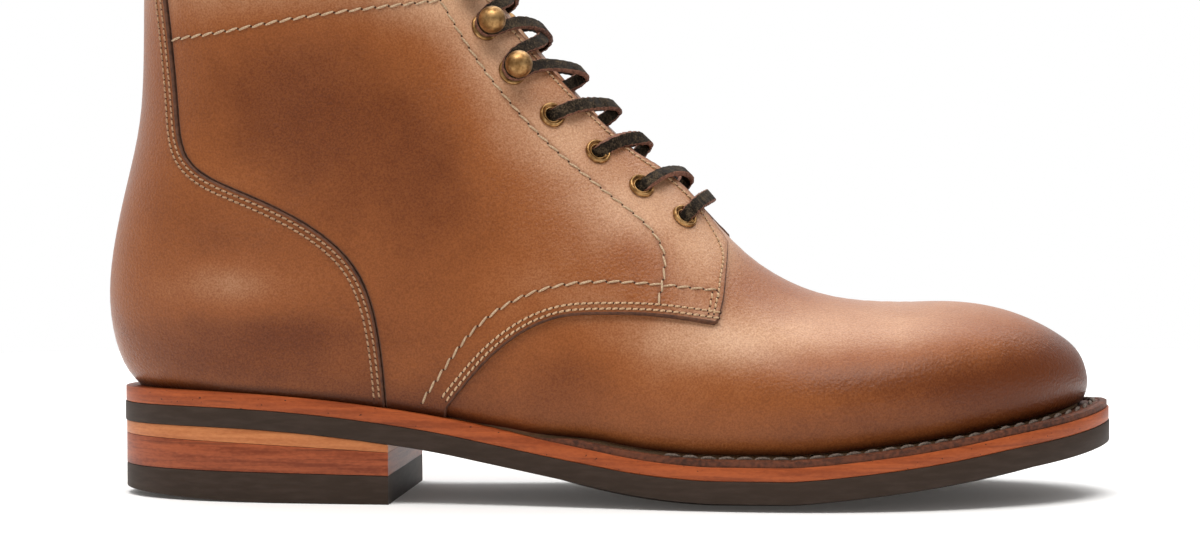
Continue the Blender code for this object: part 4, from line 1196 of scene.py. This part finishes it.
def aged_brass():
    paint = Paint("aged_brass", 0.34, 1.0)
    patches = paint.noise(420, 4)
    colour = paint.mix(paint.spread(patches, 0.35, 0.7), (0.19, 0.096, 0.033), (0.5, 0.3, 0.125))
    rough = paint.spread(paint.noise(700, 3), 0.3, 0.7, 0.4, 0.56)
    return paint.done(Base_Color=colour, Roughness=rough, Normal=paint.bump(patches, 0.08, 0.2))


def lace_leather():
    """Dark rawhide with a worn, speckled grain."""
    paint = Paint("lace_leather", 0.55)
    speckle = paint.sum(paint.noise(1900, 4, roughness=0.7), paint.noise(350, 3), 0.5)
    colour = paint.mix(paint.spread(speckle, 0.66, 1.02), (0.009, 0.006, 0.004), (0.1, 0.07, 0.042))
    rough = paint.spread(speckle, 0.5, 1.0, 0.55, 0.8)
    normal = paint.bump(speckle, 0.5, 0.35)
    return paint.done(Base_Color=colour, Roughness=rough, Normal=normal, Specular_IOR_Level=0.08)


def thread(name, light, dark):
    paint = Paint(name, 0.75)
    ply = paint.noise(2600, 3)
    colour = paint.mix(paint.spread(ply, 0.35, 0.7), dark, light)
    return paint.done(Base_Color=colour, Normal=paint.bump(ply, 0.4, 0.15))


# Pieces of the sole


def edge_places(inset, steps, ends):
    """Loop lengths along the outer and inner side, from the heel tip to the toe tip or to a flat front."""
    places = []
    for number, first in enumerate((0.0, LOOP_LENGTH)):
        last = TOE_AT
        if ends is not None:
            t = np.linspace(first, (first + TOE_AT) / 2, 400)
            last = np.interp(ends[number], plan(t, np.full(t.shape, float(inset)))[:, 0], t)
        places.append(np.linspace(first, last, steps + 1))
    return places


def layer(inset, bottom, top, bevel=LAYER_BEVEL, ends=None, steps=LAYER_STEPS, field=None):
    """Layer of the sole between two heights, with round edges; ends gives a flat front, field a tread."""
    places = edge_places(inset, steps, ends)
    profile = ((bevel, 0.0), (BEVEL_MIDDLE * bevel, BEVEL_MIDDLE * bevel), (0.0, bevel))
    profile = [(i, bottom, up) for i, up in profile] + [(i, top, -up) for i, up in reversed(profile)]
    points, columns = [], []

    def put(flat, height, up):
        points.append(np.column_stack([flat, height(flat[:, 0], flat[:, 1]) + up]))
        columns.append(list(range(len(columns) * (steps + 1), (len(columns) + 1) * (steps + 1))))
        return columns[-1]

    sides = []
    for t in places:
        sides.append([(plan(t, np.full(t.shape, inset + i)), height, up) for i, height, up in profile])
    for outer, inner in zip(*sides):
        inner[0][0] = outer[0][0]
        if ends is None:
            inner[0][-1] = outer[0][-1]
    outer_columns = [put(*c) for c in sides[0]]
    inner_columns = [put(*c) for c in sides[1]]
    caps = []
    for row, height in ((0, bottom), (-1, top)):
        a, b = sides[0][row][0], sides[1][row][0]
        middle = []
        for share in FIELD_SHARES if field and row == 0 else CAP_SHARES:
            flat = (a + b) / 2 + share * (b - a) / 2
            sunk = field and row == 0 and abs(share) < FIELD_EDGE
            up = FIELD_DEPTH * ((flat[:, 0] > field[0]) & (flat[:, 0] < field[1])) if sunk else 0.0
            middle.append(put(flat, height, up))
        caps.append([outer_columns[row], *middle, inner_columns[row]])
    faces = []
    for chain in (outer_columns, inner_columns, *caps):
        faces += grid_faces(chain)
    if ends is not None:
        rim = [c[-1] for c in outer_columns] + [c[-1] for c in caps[1][1:-1]]
        rim += [c[-1] for c in reversed(inner_columns)] + [c[-1] for c in reversed(caps[0][1:-1])]
        faces.append(tuple(rim))
    return np.vstack(points), faces


def add_layer(name, slot, material, shape):
    mesh = welded(to_mesh(name, *shape, [material]))
    add_piece(name + "_look", mesh, slot, [name])


def heel_floor(x, y):
    return HEEL_BEVEL * np.clip(1 - x / HEEL_BEVEL_LENGTH, 0, 1) ** HEEL_BEVEL_POWER


def heel_level(back, front):
    def level(x, y):
        return back + (front - back) * np.clip(np.asarray(x) / HEEL_BREAST_X, 0, 2) ** HEEL_LEVEL_POWER

    return level


def above(height, by):
    return lambda x, y: height(x, y) + by


def make_sole(paints):
    """Outsole, midsole and the three layers of the heel."""
    top_piece = heel_level(TOP_PIECE_BACK, TOP_PIECE_FRONT)
    split = heel_level(LIFT_SPLIT_BACK, LIFT_SPLIT_FRONT)
    on_outsole, on_top_piece, on_split = (above(z, LAYER_GAP) for z in (outsole_top, top_piece, split))
    heel = {"ends": (HEEL_BREAST_X, HEEL_BREAST_X + HEEL_BREAST_SLANT), "steps": HEEL_STEPS}
    tap, lift = {**heel, "field": HEEL_FIELD}, {**heel, "bevel": LIFT_BEVEL}
    under = above(tread, -LAYER_GAP)
    layers = (
        ("outsole", "dark_rubber", "rubber", 0.0, tread, outsole_top, {"field": FOREFOOT_FIELD}),
        ("midsole", "midsole_leather", "midsole", MIDSOLE_LOOK_INSET, on_outsole, midsole_top, {}),
        ("heel_top_piece", "dark_rubber", "rubber", HEEL_LOOK_INSET, heel_floor, top_piece, tap),
        ("heel_lift_lower", "heel_leather", "lift", HEEL_LOOK_INSET, on_top_piece, split, lift),
        ("heel_lift_upper", "light_heel_leather", "light_lift", HEEL_LOOK_INSET, on_split, under, lift),
    )
    for name, slot, paint, inset, bottom, top, more in layers:
        add_layer(name, slot, paints[paint], layer(inset, bottom, top, **more))


def make_insole(paints):
    sides = edge_places(0.0, LAYER_STEPS, None)
    outer, inner = (plan(t, feather_inset(t) + UPPER_WALL + 4 * GAP) for t in sides)
    inner[0], inner[-1] = outer[0], outer[-1]
    rows = np.array([outer * (1 - share) + inner * share for share in np.linspace(0, 1, INSOLE_ROWS)])
    low = np.dstack([rows, midsole_top(rows[..., 0], rows[..., 1]) + LAYER_GAP])
    high = low + (0.0, 0.0, INSOLE_THICK + GAP)
    numbers = np.arange(rows.shape[0] * rows.shape[1]).reshape(rows.shape[:2])
    faces = grid_faces(numbers) + grid_faces(numbers + numbers.size)
    for edge in (numbers[0], numbers[-1]):
        faces += strip(edge, edge + numbers.size)
    points = np.vstack([low.reshape(-1, 3), high.reshape(-1, 3)])
    add_layer("insole", "lining_leather", paints["lining"], (points, faces))


def make_studs(paints):
    """Round studs in staggered rows over the sunk fields of the forefoot and the heel."""
    sides = [plan(np.linspace(first, TOE_AT, 400)) for first in (0.0, LOOP_LENGTH)]
    studs = []
    for (start, end), floor in ((FOREFOOT_FIELD, tread), (HEEL_FIELD, heel_floor)):
        places = np.arange(start + STUD_R + 2 * STUD_MARGIN, end - STUD_R - STUD_MARGIN, STUD_ROW_STEP)
        for row, x in enumerate(places):
            low, high = (np.interp(x, side[:, 0], side[:, 1]) for side in sides)
            middle, reach = (low + high) / 2, FIELD_EDGE * (high - low) / 2 - STUD_R - STUD_MARGIN
            count = int(reach / STUD_PITCH + 1)
            for y in (np.arange(-count, count + 1) + 0.5 * (row % 2)) * STUD_PITCH:
                if abs(y) <= reach:
                    base = np.array((x, middle + y, floor(x, middle + y) + FIELD_DEPTH))
                    studs.append(turned(STUD_PROFILE, base, (0, 0, -1)))
    mesh = welded(to_mesh("tread_studs", *joined(studs), [paints["rubber"]]))
    add_piece("tread_studs", mesh, "dark_rubber")


def welt_look_thick(x):
    return WELT_THICK * (WELT_END_SHARE + (1 - WELT_END_SHARE) * ease(x, WELT_END_X, WELT_END_FULL))


def welt_places():
    """Loop lengths along the welt, from the outer waist round the toe to the inner waist."""
    ends = []
    for first in (0.0, LOOP_LENGTH):
        t = np.linspace(first, TOE_AT, 800)
        ends.append(np.interp(WELT_END_X, _plan(t)[:, 0], t))
    return np.linspace(*ends, 2 * LAYER_STEPS)


def make_welt(paints):
    t = welt_places()
    inner = feather_inset(t) + WELT_UNDER
    columns = []
    for share, height in WELT_PROFILE:
        flat = plan(t, WELT_LOOK_INSET + share * (inner - WELT_LOOK_INSET))
        low = midsole_top(flat[:, 0], flat[:, 1]) + LAYER_GAP
        columns.append(np.column_stack([flat, low + height * welt_look_thick(flat[:, 0])]))
    points = np.stack(columns, axis=1)
    shape = points.reshape(-1, 3), tube_faces(*points.shape[:2])
    add_layer("welt", "welt_leather", paints["welt"], shape)


# Stitches


def stitch_places(rows, pitch, shift):
    """Point, direction along the line and outward direction of each stitch, or of each gap if shift is 0."""
    for line, ups in rows:
        length = along(line)
        count = max(int(length[-1] / pitch), 1)
        step = length[-1] / count
        for centre in (np.arange(count + (shift == 0)) + shift) * step:
            places = np.array((centre, centre + pitch / 3, centre - pitch / 3))
            at, ahead, behind = at_lengths(places, length, line)
            yield at, unit(ahead - behind), unit(at_lengths(places, length, ups)[0])


def ring_round(first, second):
    """Ring with a radius of 1 mm in the plane of two directions."""
    angles = np.arange(STITCH_SIDES) * 2 * math.pi / STITCH_SIDES
    return np.outer(np.cos(angles), first) + np.outer(np.sin(angles), second)


def stitches(rows, pitch, wide, fill, slant):
    """Short rounded stitches along lines, each line a pair of points and outward directions."""
    faces = tube_faces(len(STITCH_RINGS), STITCH_SIDES)
    for at, tangent, up in stitch_places(rows, pitch, 0.5):
        tangent = unit(tangent + np.cross(up, tangent) * slant)
        ring = ring_round(unit(np.cross(up, tangent)), up)
        points = []
        for t, r, lift in STITCH_RINGS:
            middle = at + tangent * t * pitch * fill / 2 + up * (lift * wide / 2 + STITCH_UP)
            points.append(middle + ring * r * wide / 2)
        yield np.vstack(points), faces


def hole_shade_plugs(rows, pitch, radius):
    """Small dark plugs between the stitches, sunk in the leather: painted shade in the needle holes."""
    faces = tube_faces(2, STITCH_SIDES)
    for at, tangent, up in stitch_places(rows, pitch, 0):
        ring = ring_round(unit(np.cross(up, tangent)), tangent) * radius
        yield np.vstack([at + up * height + ring for height in (-HOLE_DEPTH, HOLE_LIFT)]), faces


def add_stitches(name, slot, material, rows, kind, hole=None):
    mesh = welded(to_mesh(name, *joined(stitches(rows, *kind)), [material]), STITCH_SHARP)
    add_piece(name, mesh, slot)
    # Dark plugs of painted shade go in the needle holes between the stitches.
    if hole is not None:
        pitch, wide = kind[:2]
        holes = joined(hole_shade_plugs(rows, pitch, HOLE_SHARE * wide))
        add_piece(name + "_holes", welded(to_mesh(name + "_holes", *holes, [hole])), slot)


def make_welt_stitches(paints):
    t = welt_places()
    flat = plan(t, feather_inset(t) - WELT_ROW_OUT)
    x, y = flat[flat[:, 0] > WELT_ROW_BACK].T
    z = midsole_top(x, y) + LAYER_GAP + WELT_ROW_SHARE * welt_look_thick(x)
    line = np.column_stack([x, y, z])
    ups = np.tile((0.0, 0.0, 1.0), (len(line), 1))
    add_stitches("welt_stitches", "welt_leather", paints["welt_thread"], [(line, ups)], WELT_STITCH)


def make_upper_stitches(surface, paints):
    counter_edge = smooth_line(COUNTER_EDGE, 90)
    heights = counter_edge[:, 1]
    counter_edge = counter_edge[(heights > COUNTER_ROW_FOOT) & (heights < COUNTER_ROW_TOP)]
    wing_edge = smooth_line(WING_EDGE, 60)
    wing_edge = wing_edge[wing_edge[:, 1] > WING_ROW_FOOT]
    heavy, fine, back = [], [], []
    for _, side in SIDES:
        for line in (COLLAR_LINE, FACING_LINE, WING_LINE):
            heavy.append(surface.line(smooth_line(line, 60), side, QUARTER_OUT))
        for by in EDGE_ROWS:
            back.append(surface.line(beside(counter_edge, -by), side, COUNTER_OUT))
            fine.append(surface.line(beside(wing_edge, by), side, QUARTER_OUT))
        front = beside(smooth_line(QUARTER_FRONT, 20), FRONT_ROW)
        front, _ = surface.line(front[front[:, 1] < FRONT_ROW_TOP], side)
        throat = facing_line(side, FACING_HALF_GAP + FRONT_ROW, FACING_ROW_FOOT, FACING_ROW_TOP)
        fine.append(surface.laid(smooth_line(np.vstack([front[::4], throat[::6]]), 160), QUARTER_OUT))
        fine += [surface.line(smooth_line(line, 6), side, QUARTER_OUT) for line in CORNER_ROWS]
    kinds = (
        ("heavy_stitches", "thread", heavy, HEAVY_STITCH),
        ("fine_stitches", "fine_thread", fine, FINE_STITCH),
        ("counter_stitches", "dull_thread", back, FINE_STITCH),
    )
    for name, paint, rows, kind in kinds:
        add_stitches(name, "upper_leather", paints[paint], rows, kind, paints["hole"])


# Pieces of the upper


def throat_field(points):
    """Below zero outside the slot between the facings."""
    return -np.maximum(outline_field(THROAT_OUTLINE)(points), abs(points[:, 1]) - THROAT_HALF_GAP)


def with_holes(field, centres):
    """The field with round holes cut out at the eyelets."""

    def cut(points):
        level = field(points)
        for centre in centres:
            level = np.maximum(level, EYELET_CUT_R - np.linalg.norm(points - centre, axis=1))
        return level

    return cut


def add_leather(name, paints, *shape):
    """Adds the leather piece that stands for a node; shape is what leather_piece takes."""
    materials = [paints[key] for key in ("leather", "raw_edge", "lining")]
    points, faces, *rest = leather_piece(*shape)
    add_piece(name + "_look", to_mesh(name, points, faces, materials, *rest), "upper_leather", [name])


def make_upper(sheet, surface, paints):
    """Vamp and lining, both quarters and the counter."""
    holes = [surface.find(x, z, side)[0] for _, side in SIDES for x, z in EYELETS]
    add_leather("upper", paints, sheet, with_holes(throat_field, holes), 0.0, -UPPER_WALL, UPPER_EDGE_R)
    seam = smooth_line(COUNTER_EDGE, 60)
    above_seam = (seam[0][0], COUNTER_BEHIND[1])
    front = [*smooth_line(WING_EDGE, 40), *smooth_line(QUARTER_FRONT, 16)]
    in_outline = outline_field([*(seam + (SEAM_GAP, 0.0)), QUARTER_FOOT, *front, *QUARTER_ABOVE, above_seam])
    marks = [smooth_line(line, 90) for line in (COLLAR_LINE, FACING_LINE, WING_LINE)]
    marks.append(beside(smooth_line(WING_EDGE, 120), EDGE_ROWS[0]))
    for word, side in SIDES:

        def quarter(points, side=side):
            return np.maximum(in_outline(points), FACING_HALF_GAP - side * points[:, 1])

        cut = with_holes(quarter, holes)
        add_leather(f"quarter_{word}", paints, sheet, cut, QUARTER_OUT, LAYER_GAP, QUARTER_EDGE_R, marks)
    back = outline_field([COUNTER_BEHIND, above_seam, *seam, *COUNTER_BELOW])
    marks = [beside(smooth_line(COUNTER_EDGE, 120), -EDGE_ROWS[0])]
    add_leather("counter", paints, sheet, back, COUNTER_OUT, LAYER_GAP, COUNTER_EDGE_R, marks)


def make_tongue(paints):
    """Tongue under the facings, with rounded top corners."""
    low, high = FORM.knots[TONGUE_FOOT_ROW : TONGUE_FOOT_ROW + 2]
    s = stations(low + TONGUE_FOOT_SHARE * (high - low), FORM.knots[-1], FINE_GAP)
    middle, reach = FINE_LOW + FINE_HIGH, FINE_HIGH // 3
    columns = slice(middle - reach, middle + reach + 1)
    grid, out = (make(s, FINE_LOW, FINE_HIGH)[:, columns] for make in (FORM.grid, FORM.normals))
    points, normals = grid.reshape(-1, 3), out.reshape(-1, 3)
    ids = np.arange(len(points)).reshape(grid.shape[:2])
    sheet = points, normals, facing_out(points, normals, triangles(ids))
    top_z = points[:, 2].max() + TONGUE_SPARE

    def corners(points):
        wide = np.clip(abs(points[:, 1]) / TONGUE_CORNER_WIDE, 0, 1)
        return points[:, 2] - (top_z - TONGUE_CORNER_DROP * wide**4)

    top = -(UPPER_WALL + GAP)
    add_leather("tongue", paints, sheet, corners, top, top - TONGUE_THICK, TONGUE_EDGE_R)


# Hardware and laces


def turned(profile, origin, axis):
    """Shape turned from (radius, height) pairs; the profile closes unless it starts at 0."""
    sides = np.arange(TURN_SIDES) * 2 * math.pi / TURN_SIDES
    rings = np.array([[(r * math.cos(a), r * math.sin(a), h) for a in sides] for r, h in profile])
    numbers = np.arange(len(profile) * TURN_SIDES).reshape(-1, TURN_SIDES)
    numbers = np.hstack([numbers, numbers[:, :1]])
    faces = grid_faces(numbers)
    if profile[0][0] > 0:
        faces += strip(numbers[-1], numbers[0])
    turn = np.array(Vector((0, 0, 1)).rotation_difference(Vector(axis)).to_matrix())
    return rings.reshape(-1, 3) @ turn.T + origin, faces


def eyelet_profile():
    """Rolled ring over the leather, a groove, a thin lip at the hole and a barrel through the leather."""
    low = QUARTER_OUT
    roll_r = EYELET_ROLL_SHARE * (EYELET_FLANGE_R - EYELET_HOLE_R)
    roll = [
        (EYELET_FLANGE_R - roll_r + roll_r * math.cos(a), low + EYELET_ROLL_HEIGHT * math.sin(a))
        for a in np.linspace(0, 0.85 * math.pi, 9)
    ]
    lip = [(EYELET_HOLE_R + out, low + up) for out, up in EYELET_LIP]
    barrel = [(EYELET_HOLE_R, -UPPER_WALL), (EYELET_BARREL_R, -UPPER_WALL)]
    return [(EYELET_BARREL_R, low), *roll, *lip, *barrel]


def hook_profile():
    """Stepped base, neck and ball."""
    base = QUARTER_OUT
    ball = base + GAP + HOOK_BALL_HEIGHT
    start = math.asin(HOOK_NECK_R / HOOK_BALL_R)
    angles = np.linspace(math.pi - start, 0, 15)[:-1]
    dome = [(HOOK_BALL_R * math.sin(a), ball + HOOK_BALL_R * math.cos(a)) for a in angles]
    steps = [(HOOK_BASE_R - inside, base + up) for inside, up in HOOK_STEPS]
    neck = [(HOOK_NECK_R + out, base + up) for out, up in HOOK_NECK_FOOT]
    return [(0.0, base), *steps, *neck, *dome, (0.0, ball + HOOK_BALL_R)]


def make_hardware(surface, paints):
    kinds = ("eyelet", EYELETS, eyelet_profile()), ("hook", HOOKS, hook_profile())
    for word, side in SIDES:
        for kind, places, profile in kinds:
            for number, (x, z) in enumerate(places, 1):
                name = f"{kind}_{word}_{number}"
                shape = turned(profile, *surface.find(x, z, side))
                mesh = welded(to_mesh(name, *shape, [paints["brass"]]), SHARP_DEG)
                add_piece(name + "_look", mesh, "aged_brass", [name])


def ribbon(path, ups, wide):
    """Shape and material numbers of a flat strap along a path, its broad side facing ups."""
    tangent = unit(np.gradient(path, axis=0))
    across = unit(np.cross(tangent, unit(ups)))
    ups = np.cross(across, tangent)
    length = along(path)
    for share, waves, axis in LACE_WAVES:
        wide = wide + share * np.sin(waves * length + path[0][axis])
    across, ups = across * wide[:, None] * STRAP_WIDE / 2, ups * STRAP_THICK / 2
    ring = np.stack([path + across * a + ups * b for a, b in LACE_SIDE], axis=1)
    count, sides = ring.shape[:2]
    round_slots = [CUT_FACE if i in LACE_CUT_FACES else GRAIN_FACE for i in range(sides)]
    shape = ring.reshape(-1, 3), tube_faces(count, sides)
    return shape, round_slots * (count - 1) + [CUT_FACE, CUT_FACE]


def across_hole(way, normal):
    """A direction laid flat in the plane of a hole."""
    return unit(way - normal * (way @ normal))


class Lacing:
    """Works out the strands of the lace: each comes up through an eyelet and goes under the other facing."""

    def __init__(self, surface):
        self.surface = surface
        self.holes = (*EYELETS, *HOOKS)
        self.ridge = FORM.ridge(np.linspace(0, FORM.knots[-1], 900))

    def hole(self, index, side):
        return self.surface.find(*self.holes[index], side)

    def crown(self, index, side, lift):
        """Point over the throat where the strand to a hole crosses, and the way out of the throat there."""
        share, higher = CROSSINGS[index][:2]
        lower, upper = self.hole(max(index - 1, 0), -side)[0], self.hole(index, side)[0]
        middle = lower * (1 - share) + upper * share
        at = np.argmin(np.linalg.norm((self.ridge - middle)[:, (0, 2)], axis=1))
        step = unit(self.ridge[at + 3] - self.ridge[at - 3])
        out = np.array((step[2], 0.0, -step[0]))
        out = out if out[0] > 0 else -out
        return self.ridge[at] + out * (THROAT_RISE + higher + lift), out

    def from_hole(self, index, side, crown, out):
        """Start of a strand: up through an eyelet and over the facing towards the crown."""
        centre, normal = self.hole(index, side)
        way = across_hole(crown - centre, normal)
        path = [centre + normal * height + way * ahead for height, ahead in HOLE_PATH]
        over, over_up = self.over_facing(index, side, crown, out)
        return path + [over], [-way, unit(normal - way), unit(normal - 0.2 * way), over_up]

    def to_facing(self, index, side, crown, out):
        """End of a strand: down from the crown and under a facing, between two of its holes."""
        centre, normal = self.hole(index, side)
        centre = centre * 0.55 + self.hole(index + 1, side)[0] * 0.45
        path = [crown * 0.62 + centre * 0.38 - out * 2.4, crown * 0.3 + centre * 0.7 - normal * 3.2]
        return path, [unit(out + 0.6 * normal), normal]

    def strand(self, index, side, lift):
        """From an eyelet over the throat and down under the other facing."""
        crown, out = self.crown(index, side, lift)
        path, ups = self.from_hole(index, side, crown, out)
        end, end_ups = self.to_facing(index - 1, -side, crown, out)
        turn = CROSSINGS[index][2 if side == LATERAL else 3]
        return self.smooth(path + [crown] + end, ups + [out] + end_ups, turn)

    def bar(self):
        """Straight strand between the lowest eyelets, in at both."""
        crown, out = self.crown(0, LATERAL, 0.0)
        crown = crown * (1.0, 0.0, 1.0)
        path, ups = self.from_hole(0, LATERAL, crown, out)
        back, back_ups = self.from_hole(0, MEDIAL, crown, out)
        return self.smooth(path + [crown] + back[::-1], ups + [out] + back_ups[::-1])

    def round_hook(self, index, side):
        """Half a turn round the neck of a hook, from below to above, under the ball."""
        centre, normal = self.hole(index, side)
        up = across_hole(centre - self.hole(index - 1, side)[0], normal)
        away = np.cross(up, normal)
        away = away if away[0] < 0 else -away
        middle = centre + normal * (QUARTER_OUT + STRAND_RISE + STRAP_THICK / 2)
        reach = HOOK_NECK_R + 0.55 * STRAP_WIDE / 2
        rays = [away * math.cos(a) + up * math.sin(a) for a in HOOK_TURN]
        return [middle + ray * reach for ray in rays], [normal] * len(rays)

    def over_facing(self, index, side, crown, out):
        """Point just over the facing on the way from a hole to the crown, and the way out there."""
        centre, normal = self.hole(index, side)
        point, up = self.surface.nearest(centre * 0.45 + crown * 0.55 + unit(normal + out) * 4.0)
        return point + up * (QUARTER_OUT + STRAP_THICK / 2 + STRAP_CLEAR), unit(up + 0.4 * out)

    def to_hooks(self, side, lift):
        """From under the top eyelet across to the first hook, and on from hook to hook."""
        first = len(EYELETS) - 1
        crown, out = self.crown(first + 1, -side, lift)
        path, ups = (part[::-1] for part in self.to_facing(first, side, crown, out))
        wide = [1.0, 1.0]
        for index in range(first + 1, len(self.holes)):
            side, lift = -side, -lift
            over, over_up = self.over_facing(index, side, crown, out)
            turn, turn_ups = self.round_hook(index, side)
            path += [crown, over, *turn]
            ups += [out, over_up, *turn_ups]
            wide += [1.0, 1.0, *HOOK_WIDTHS]
            if index + 1 < len(self.holes):
                crown, out = self.crown(index + 1, -side, lift)
                over, over_up = self.over_facing(index, side, crown, out)
                path.append(over)
                ups.append(over_up)
                wide.append(1.0)
        return self.smooth(path, ups, wide=wide)

    def smooth(self, path, ups, turn_deg=0.0, wide=None):
        """Even points on a smooth path, broad-side directions turned near the start, and width shares."""
        path, ups = np.array(path), np.array(ups)
        length = along(path)
        even = np.linspace(0, length[-1], STRAND_STEPS * len(path))
        fine, fine_ups = spline(length, path)(even), unit(spline(length, ups)(even))
        across = np.cross(unit(np.gradient(fine, axis=0)), fine_ups)
        share = np.clip(even / length[-1] / TURN_REACH, 0, 1)[:, None]
        angle = math.radians(turn_deg) * np.sin(math.pi * share)
        wide = np.ones(len(even)) if wide is None else np.interp(even, length, wide)
        return fine, unit(fine_ups * np.cos(angle) + across * np.sin(angle)), wide


def make_laces(surface, paints):
    lacing = Lacing(surface)
    strands = {"lace_bar": [lacing.bar()]}
    for index in range(1, len(EYELETS)):
        pair = [lacing.strand(index, side, -side * CROSS_STEP) for side in (LATERAL, MEDIAL)]
        strands[f"lace_cross_{index}"] = pair
    strands["lace_hooks"] = [lacing.to_hooks(side, side * CROSS_STEP) for side in (LATERAL, MEDIAL)]
    materials = [paints["lace"], paints["lace_cut"]]
    for name, pair in strands.items():
        shapes, slots = zip(*(ribbon(*strand) for strand in pair))
        mesh = to_mesh(name, *joined(shapes), materials, np.concatenate(slots))
        nodes = [f"lace_cross_{n}" for n in (4, 5, 6)] if name == "lace_hooks" else [name]
        add_piece(name + "_look", welded(mesh, SHARP_DEG), "lace_leather", nodes)


# Studio


def add_object(name, data, at=-ORIGIN):
    """Adds an object of the studio, at the frame's origin or at a place in millimetres."""
    obj = bpy.data.objects.new(name, data)
    bpy.context.scene.collection.objects.link(obj)
    obj.location = (np.array(at) + ORIGIN) * MM
    return obj


def make_camera():
    camera = add_object("camera", bpy.data.cameras.new("camera"), CAMERA_AT)
    bpy.context.scene.camera = camera
    camera.data.lens = CAMERA_LENS
    camera.data.sensor_fit = "HORIZONTAL"
    camera.data.sensor_width = CAMERA_SENSOR
    yaw, pitch = math.radians(CAMERA_YAW), math.radians(CAMERA_PITCH)
    level = math.cos(pitch)
    ahead = Vector((-math.sin(yaw) * level, math.cos(yaw) * level, -math.sin(pitch)))
    camera.rotation_mode = "QUATERNION"
    roll = Quaternion((0, 0, 1), math.radians(CAMERA_ROLL))
    camera.rotation_quaternion = ahead.to_track_quat("-Z", "Y") @ roll


def make_lights():
    for name, at, towards, wide, high, watts, colour in LIGHTS:
        light = bpy.data.lights.new(name, "AREA")
        light.shape = "RECTANGLE"
        light.size, light.size_y, light.energy, light.color = wide * MM, high * MM, watts, colour
        way = Vector(np.array(towards) - np.array(at))
        add_object(name, light, at).rotation_euler = way.to_track_quat("-Z", "Y").to_euler()


def make_sky():
    """White surroundings that light the boot less from the front, below Y = 0, and from ahead of the toe."""
    world = bpy.data.worlds.new("studio")
    world.use_nodes = True
    nodes, links = world.node_tree.nodes, world.node_tree.links
    way = nodes.new("ShaderNodeSeparateXYZ")
    links.new(nodes.new("ShaderNodeTexCoord").outputs["Generated"], way.inputs[0])
    both = nodes.new("ShaderNodeMath")
    both.operation = "MULTIPLY"
    for number, (axis, *limits) in enumerate(SKY_FADES):
        level = nodes.new("ShaderNodeMapRange")
        level.interpolation_type = "SMOOTHSTEP"
        for key, value in zip(("From Min", "From Max", "To Min", "To Max"), limits):
            level.inputs[key].default_value = value
        links.new(way.outputs[axis], level.inputs["Value"])
        links.new(level.outputs[0], both.inputs[number])
    seen = nodes.new("ShaderNodeMix")
    links.new(nodes.new("ShaderNodeLightPath").outputs["Is Camera Ray"], seen.inputs[0])
    links.new(both.outputs[0], seen.inputs[2])
    seen.inputs[3].default_value = 1.0
    links.new(seen.outputs[0], nodes["Background"].inputs["Strength"])
    nodes["Background"].inputs["Color"].default_value = (1, 1, 1, 1)
    bpy.context.scene.world = world


def make_floor():
    paper = Paint("white_floor", 0.9)
    colour = paper.mix(paper.noise(3, 2), *FLOOR_COLOURS)
    glow = {"Emission_Color": FLOOR_GLOW_COLOUR, "Emission_Strength": FLOOR_GLOW}
    mesh = bpy.data.meshes.new("floor")
    bm = bmesh.new()
    bmesh.ops.create_circle(bm, cap_ends=True, segments=FLOOR_SIDES, radius=FLOOR_RADIUS * MM)
    bm.to_mesh(mesh)
    bm.free()
    mesh.materials.append(paper.done(Base_Color=colour, **glow))
    floor = add_object("floor", mesh)
    floor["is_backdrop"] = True


def make_studio():
    bpy.context.scene.view_settings.view_transform = "Standard"
    make_camera()
    make_lights()
    make_sky()
    make_floor()


def main():
    paints = {
        "leather": upper_leather(),
        "raw_edge": plain_leather("raw_edge", (0.13, 0.055, 0.03), (0.05, 0.022, 0.014), 0.7),
        "lining": plain_leather("lining_leather", (0.5, 0.32, 0.18), (0.4, 0.23, 0.12), 0.6),
        "welt": plain_leather("welt_leather", (0.14, 0.042, 0.018), (0.03, 0.009, 0.004), 0.6, 800.0),
        "midsole": layered_leather("midsole_leather", (0.39, 0.085, 0.02), (0.24, 0.045, 0.009), 0.35, 0.9),
        "lift": layered_leather("heel_leather", (0.35, 0.083, 0.028), (0.18, 0.034, 0.01), 0.5),
        "light_lift": layered_leather("light_heel_leather", (0.55, 0.203, 0.071), (0.41, 0.126, 0.038), 0.1),
        "rubber": rubber(),
        "brass": aged_brass(),
        "thread": thread("beige_thread", (0.62, 0.45, 0.29), (0.36, 0.23, 0.13)),
        "fine_thread": thread("fine_thread", (0.66, 0.45, 0.27), (0.42, 0.25, 0.13)),
        "dull_thread": thread("dull_thread", (0.47, 0.29, 0.16), (0.27, 0.14, 0.07)),
        "welt_thread": thread("welt_thread", (0.22, 0.165, 0.13), (0.07, 0.05, 0.036)),
        # painted shade in the needle holes
        "hole": plain_leather("needle_hole_shade", (0.06, 0.022, 0.01), (0.03, 0.01, 0.004), 0.8),
        "lace": lace_leather(),
        "lace_cut": plain_leather("lace_cut", (0.24, 0.105, 0.065), (0.05, 0.02, 0.013), 0.75, 1300.0),
    }
    sheet = boot_sheet()
    surface = Surface(sheet)
    make_sole(paints)
    make_insole(paints)
    make_studs(paints)
    make_welt(paints)
    make_upper(sheet, surface, paints)
    make_tongue(paints)
    make_upper_stitches(surface, paints)
    make_welt_stitches(paints)
    make_hardware(surface, paints)
    make_laces(surface, paints)
    make_studio()
    boxes = {"cad": cad_box, "visual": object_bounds()}
    {key: [[float(v) for v in corner] for corner in box] for key, box in boxes.items()}


main()
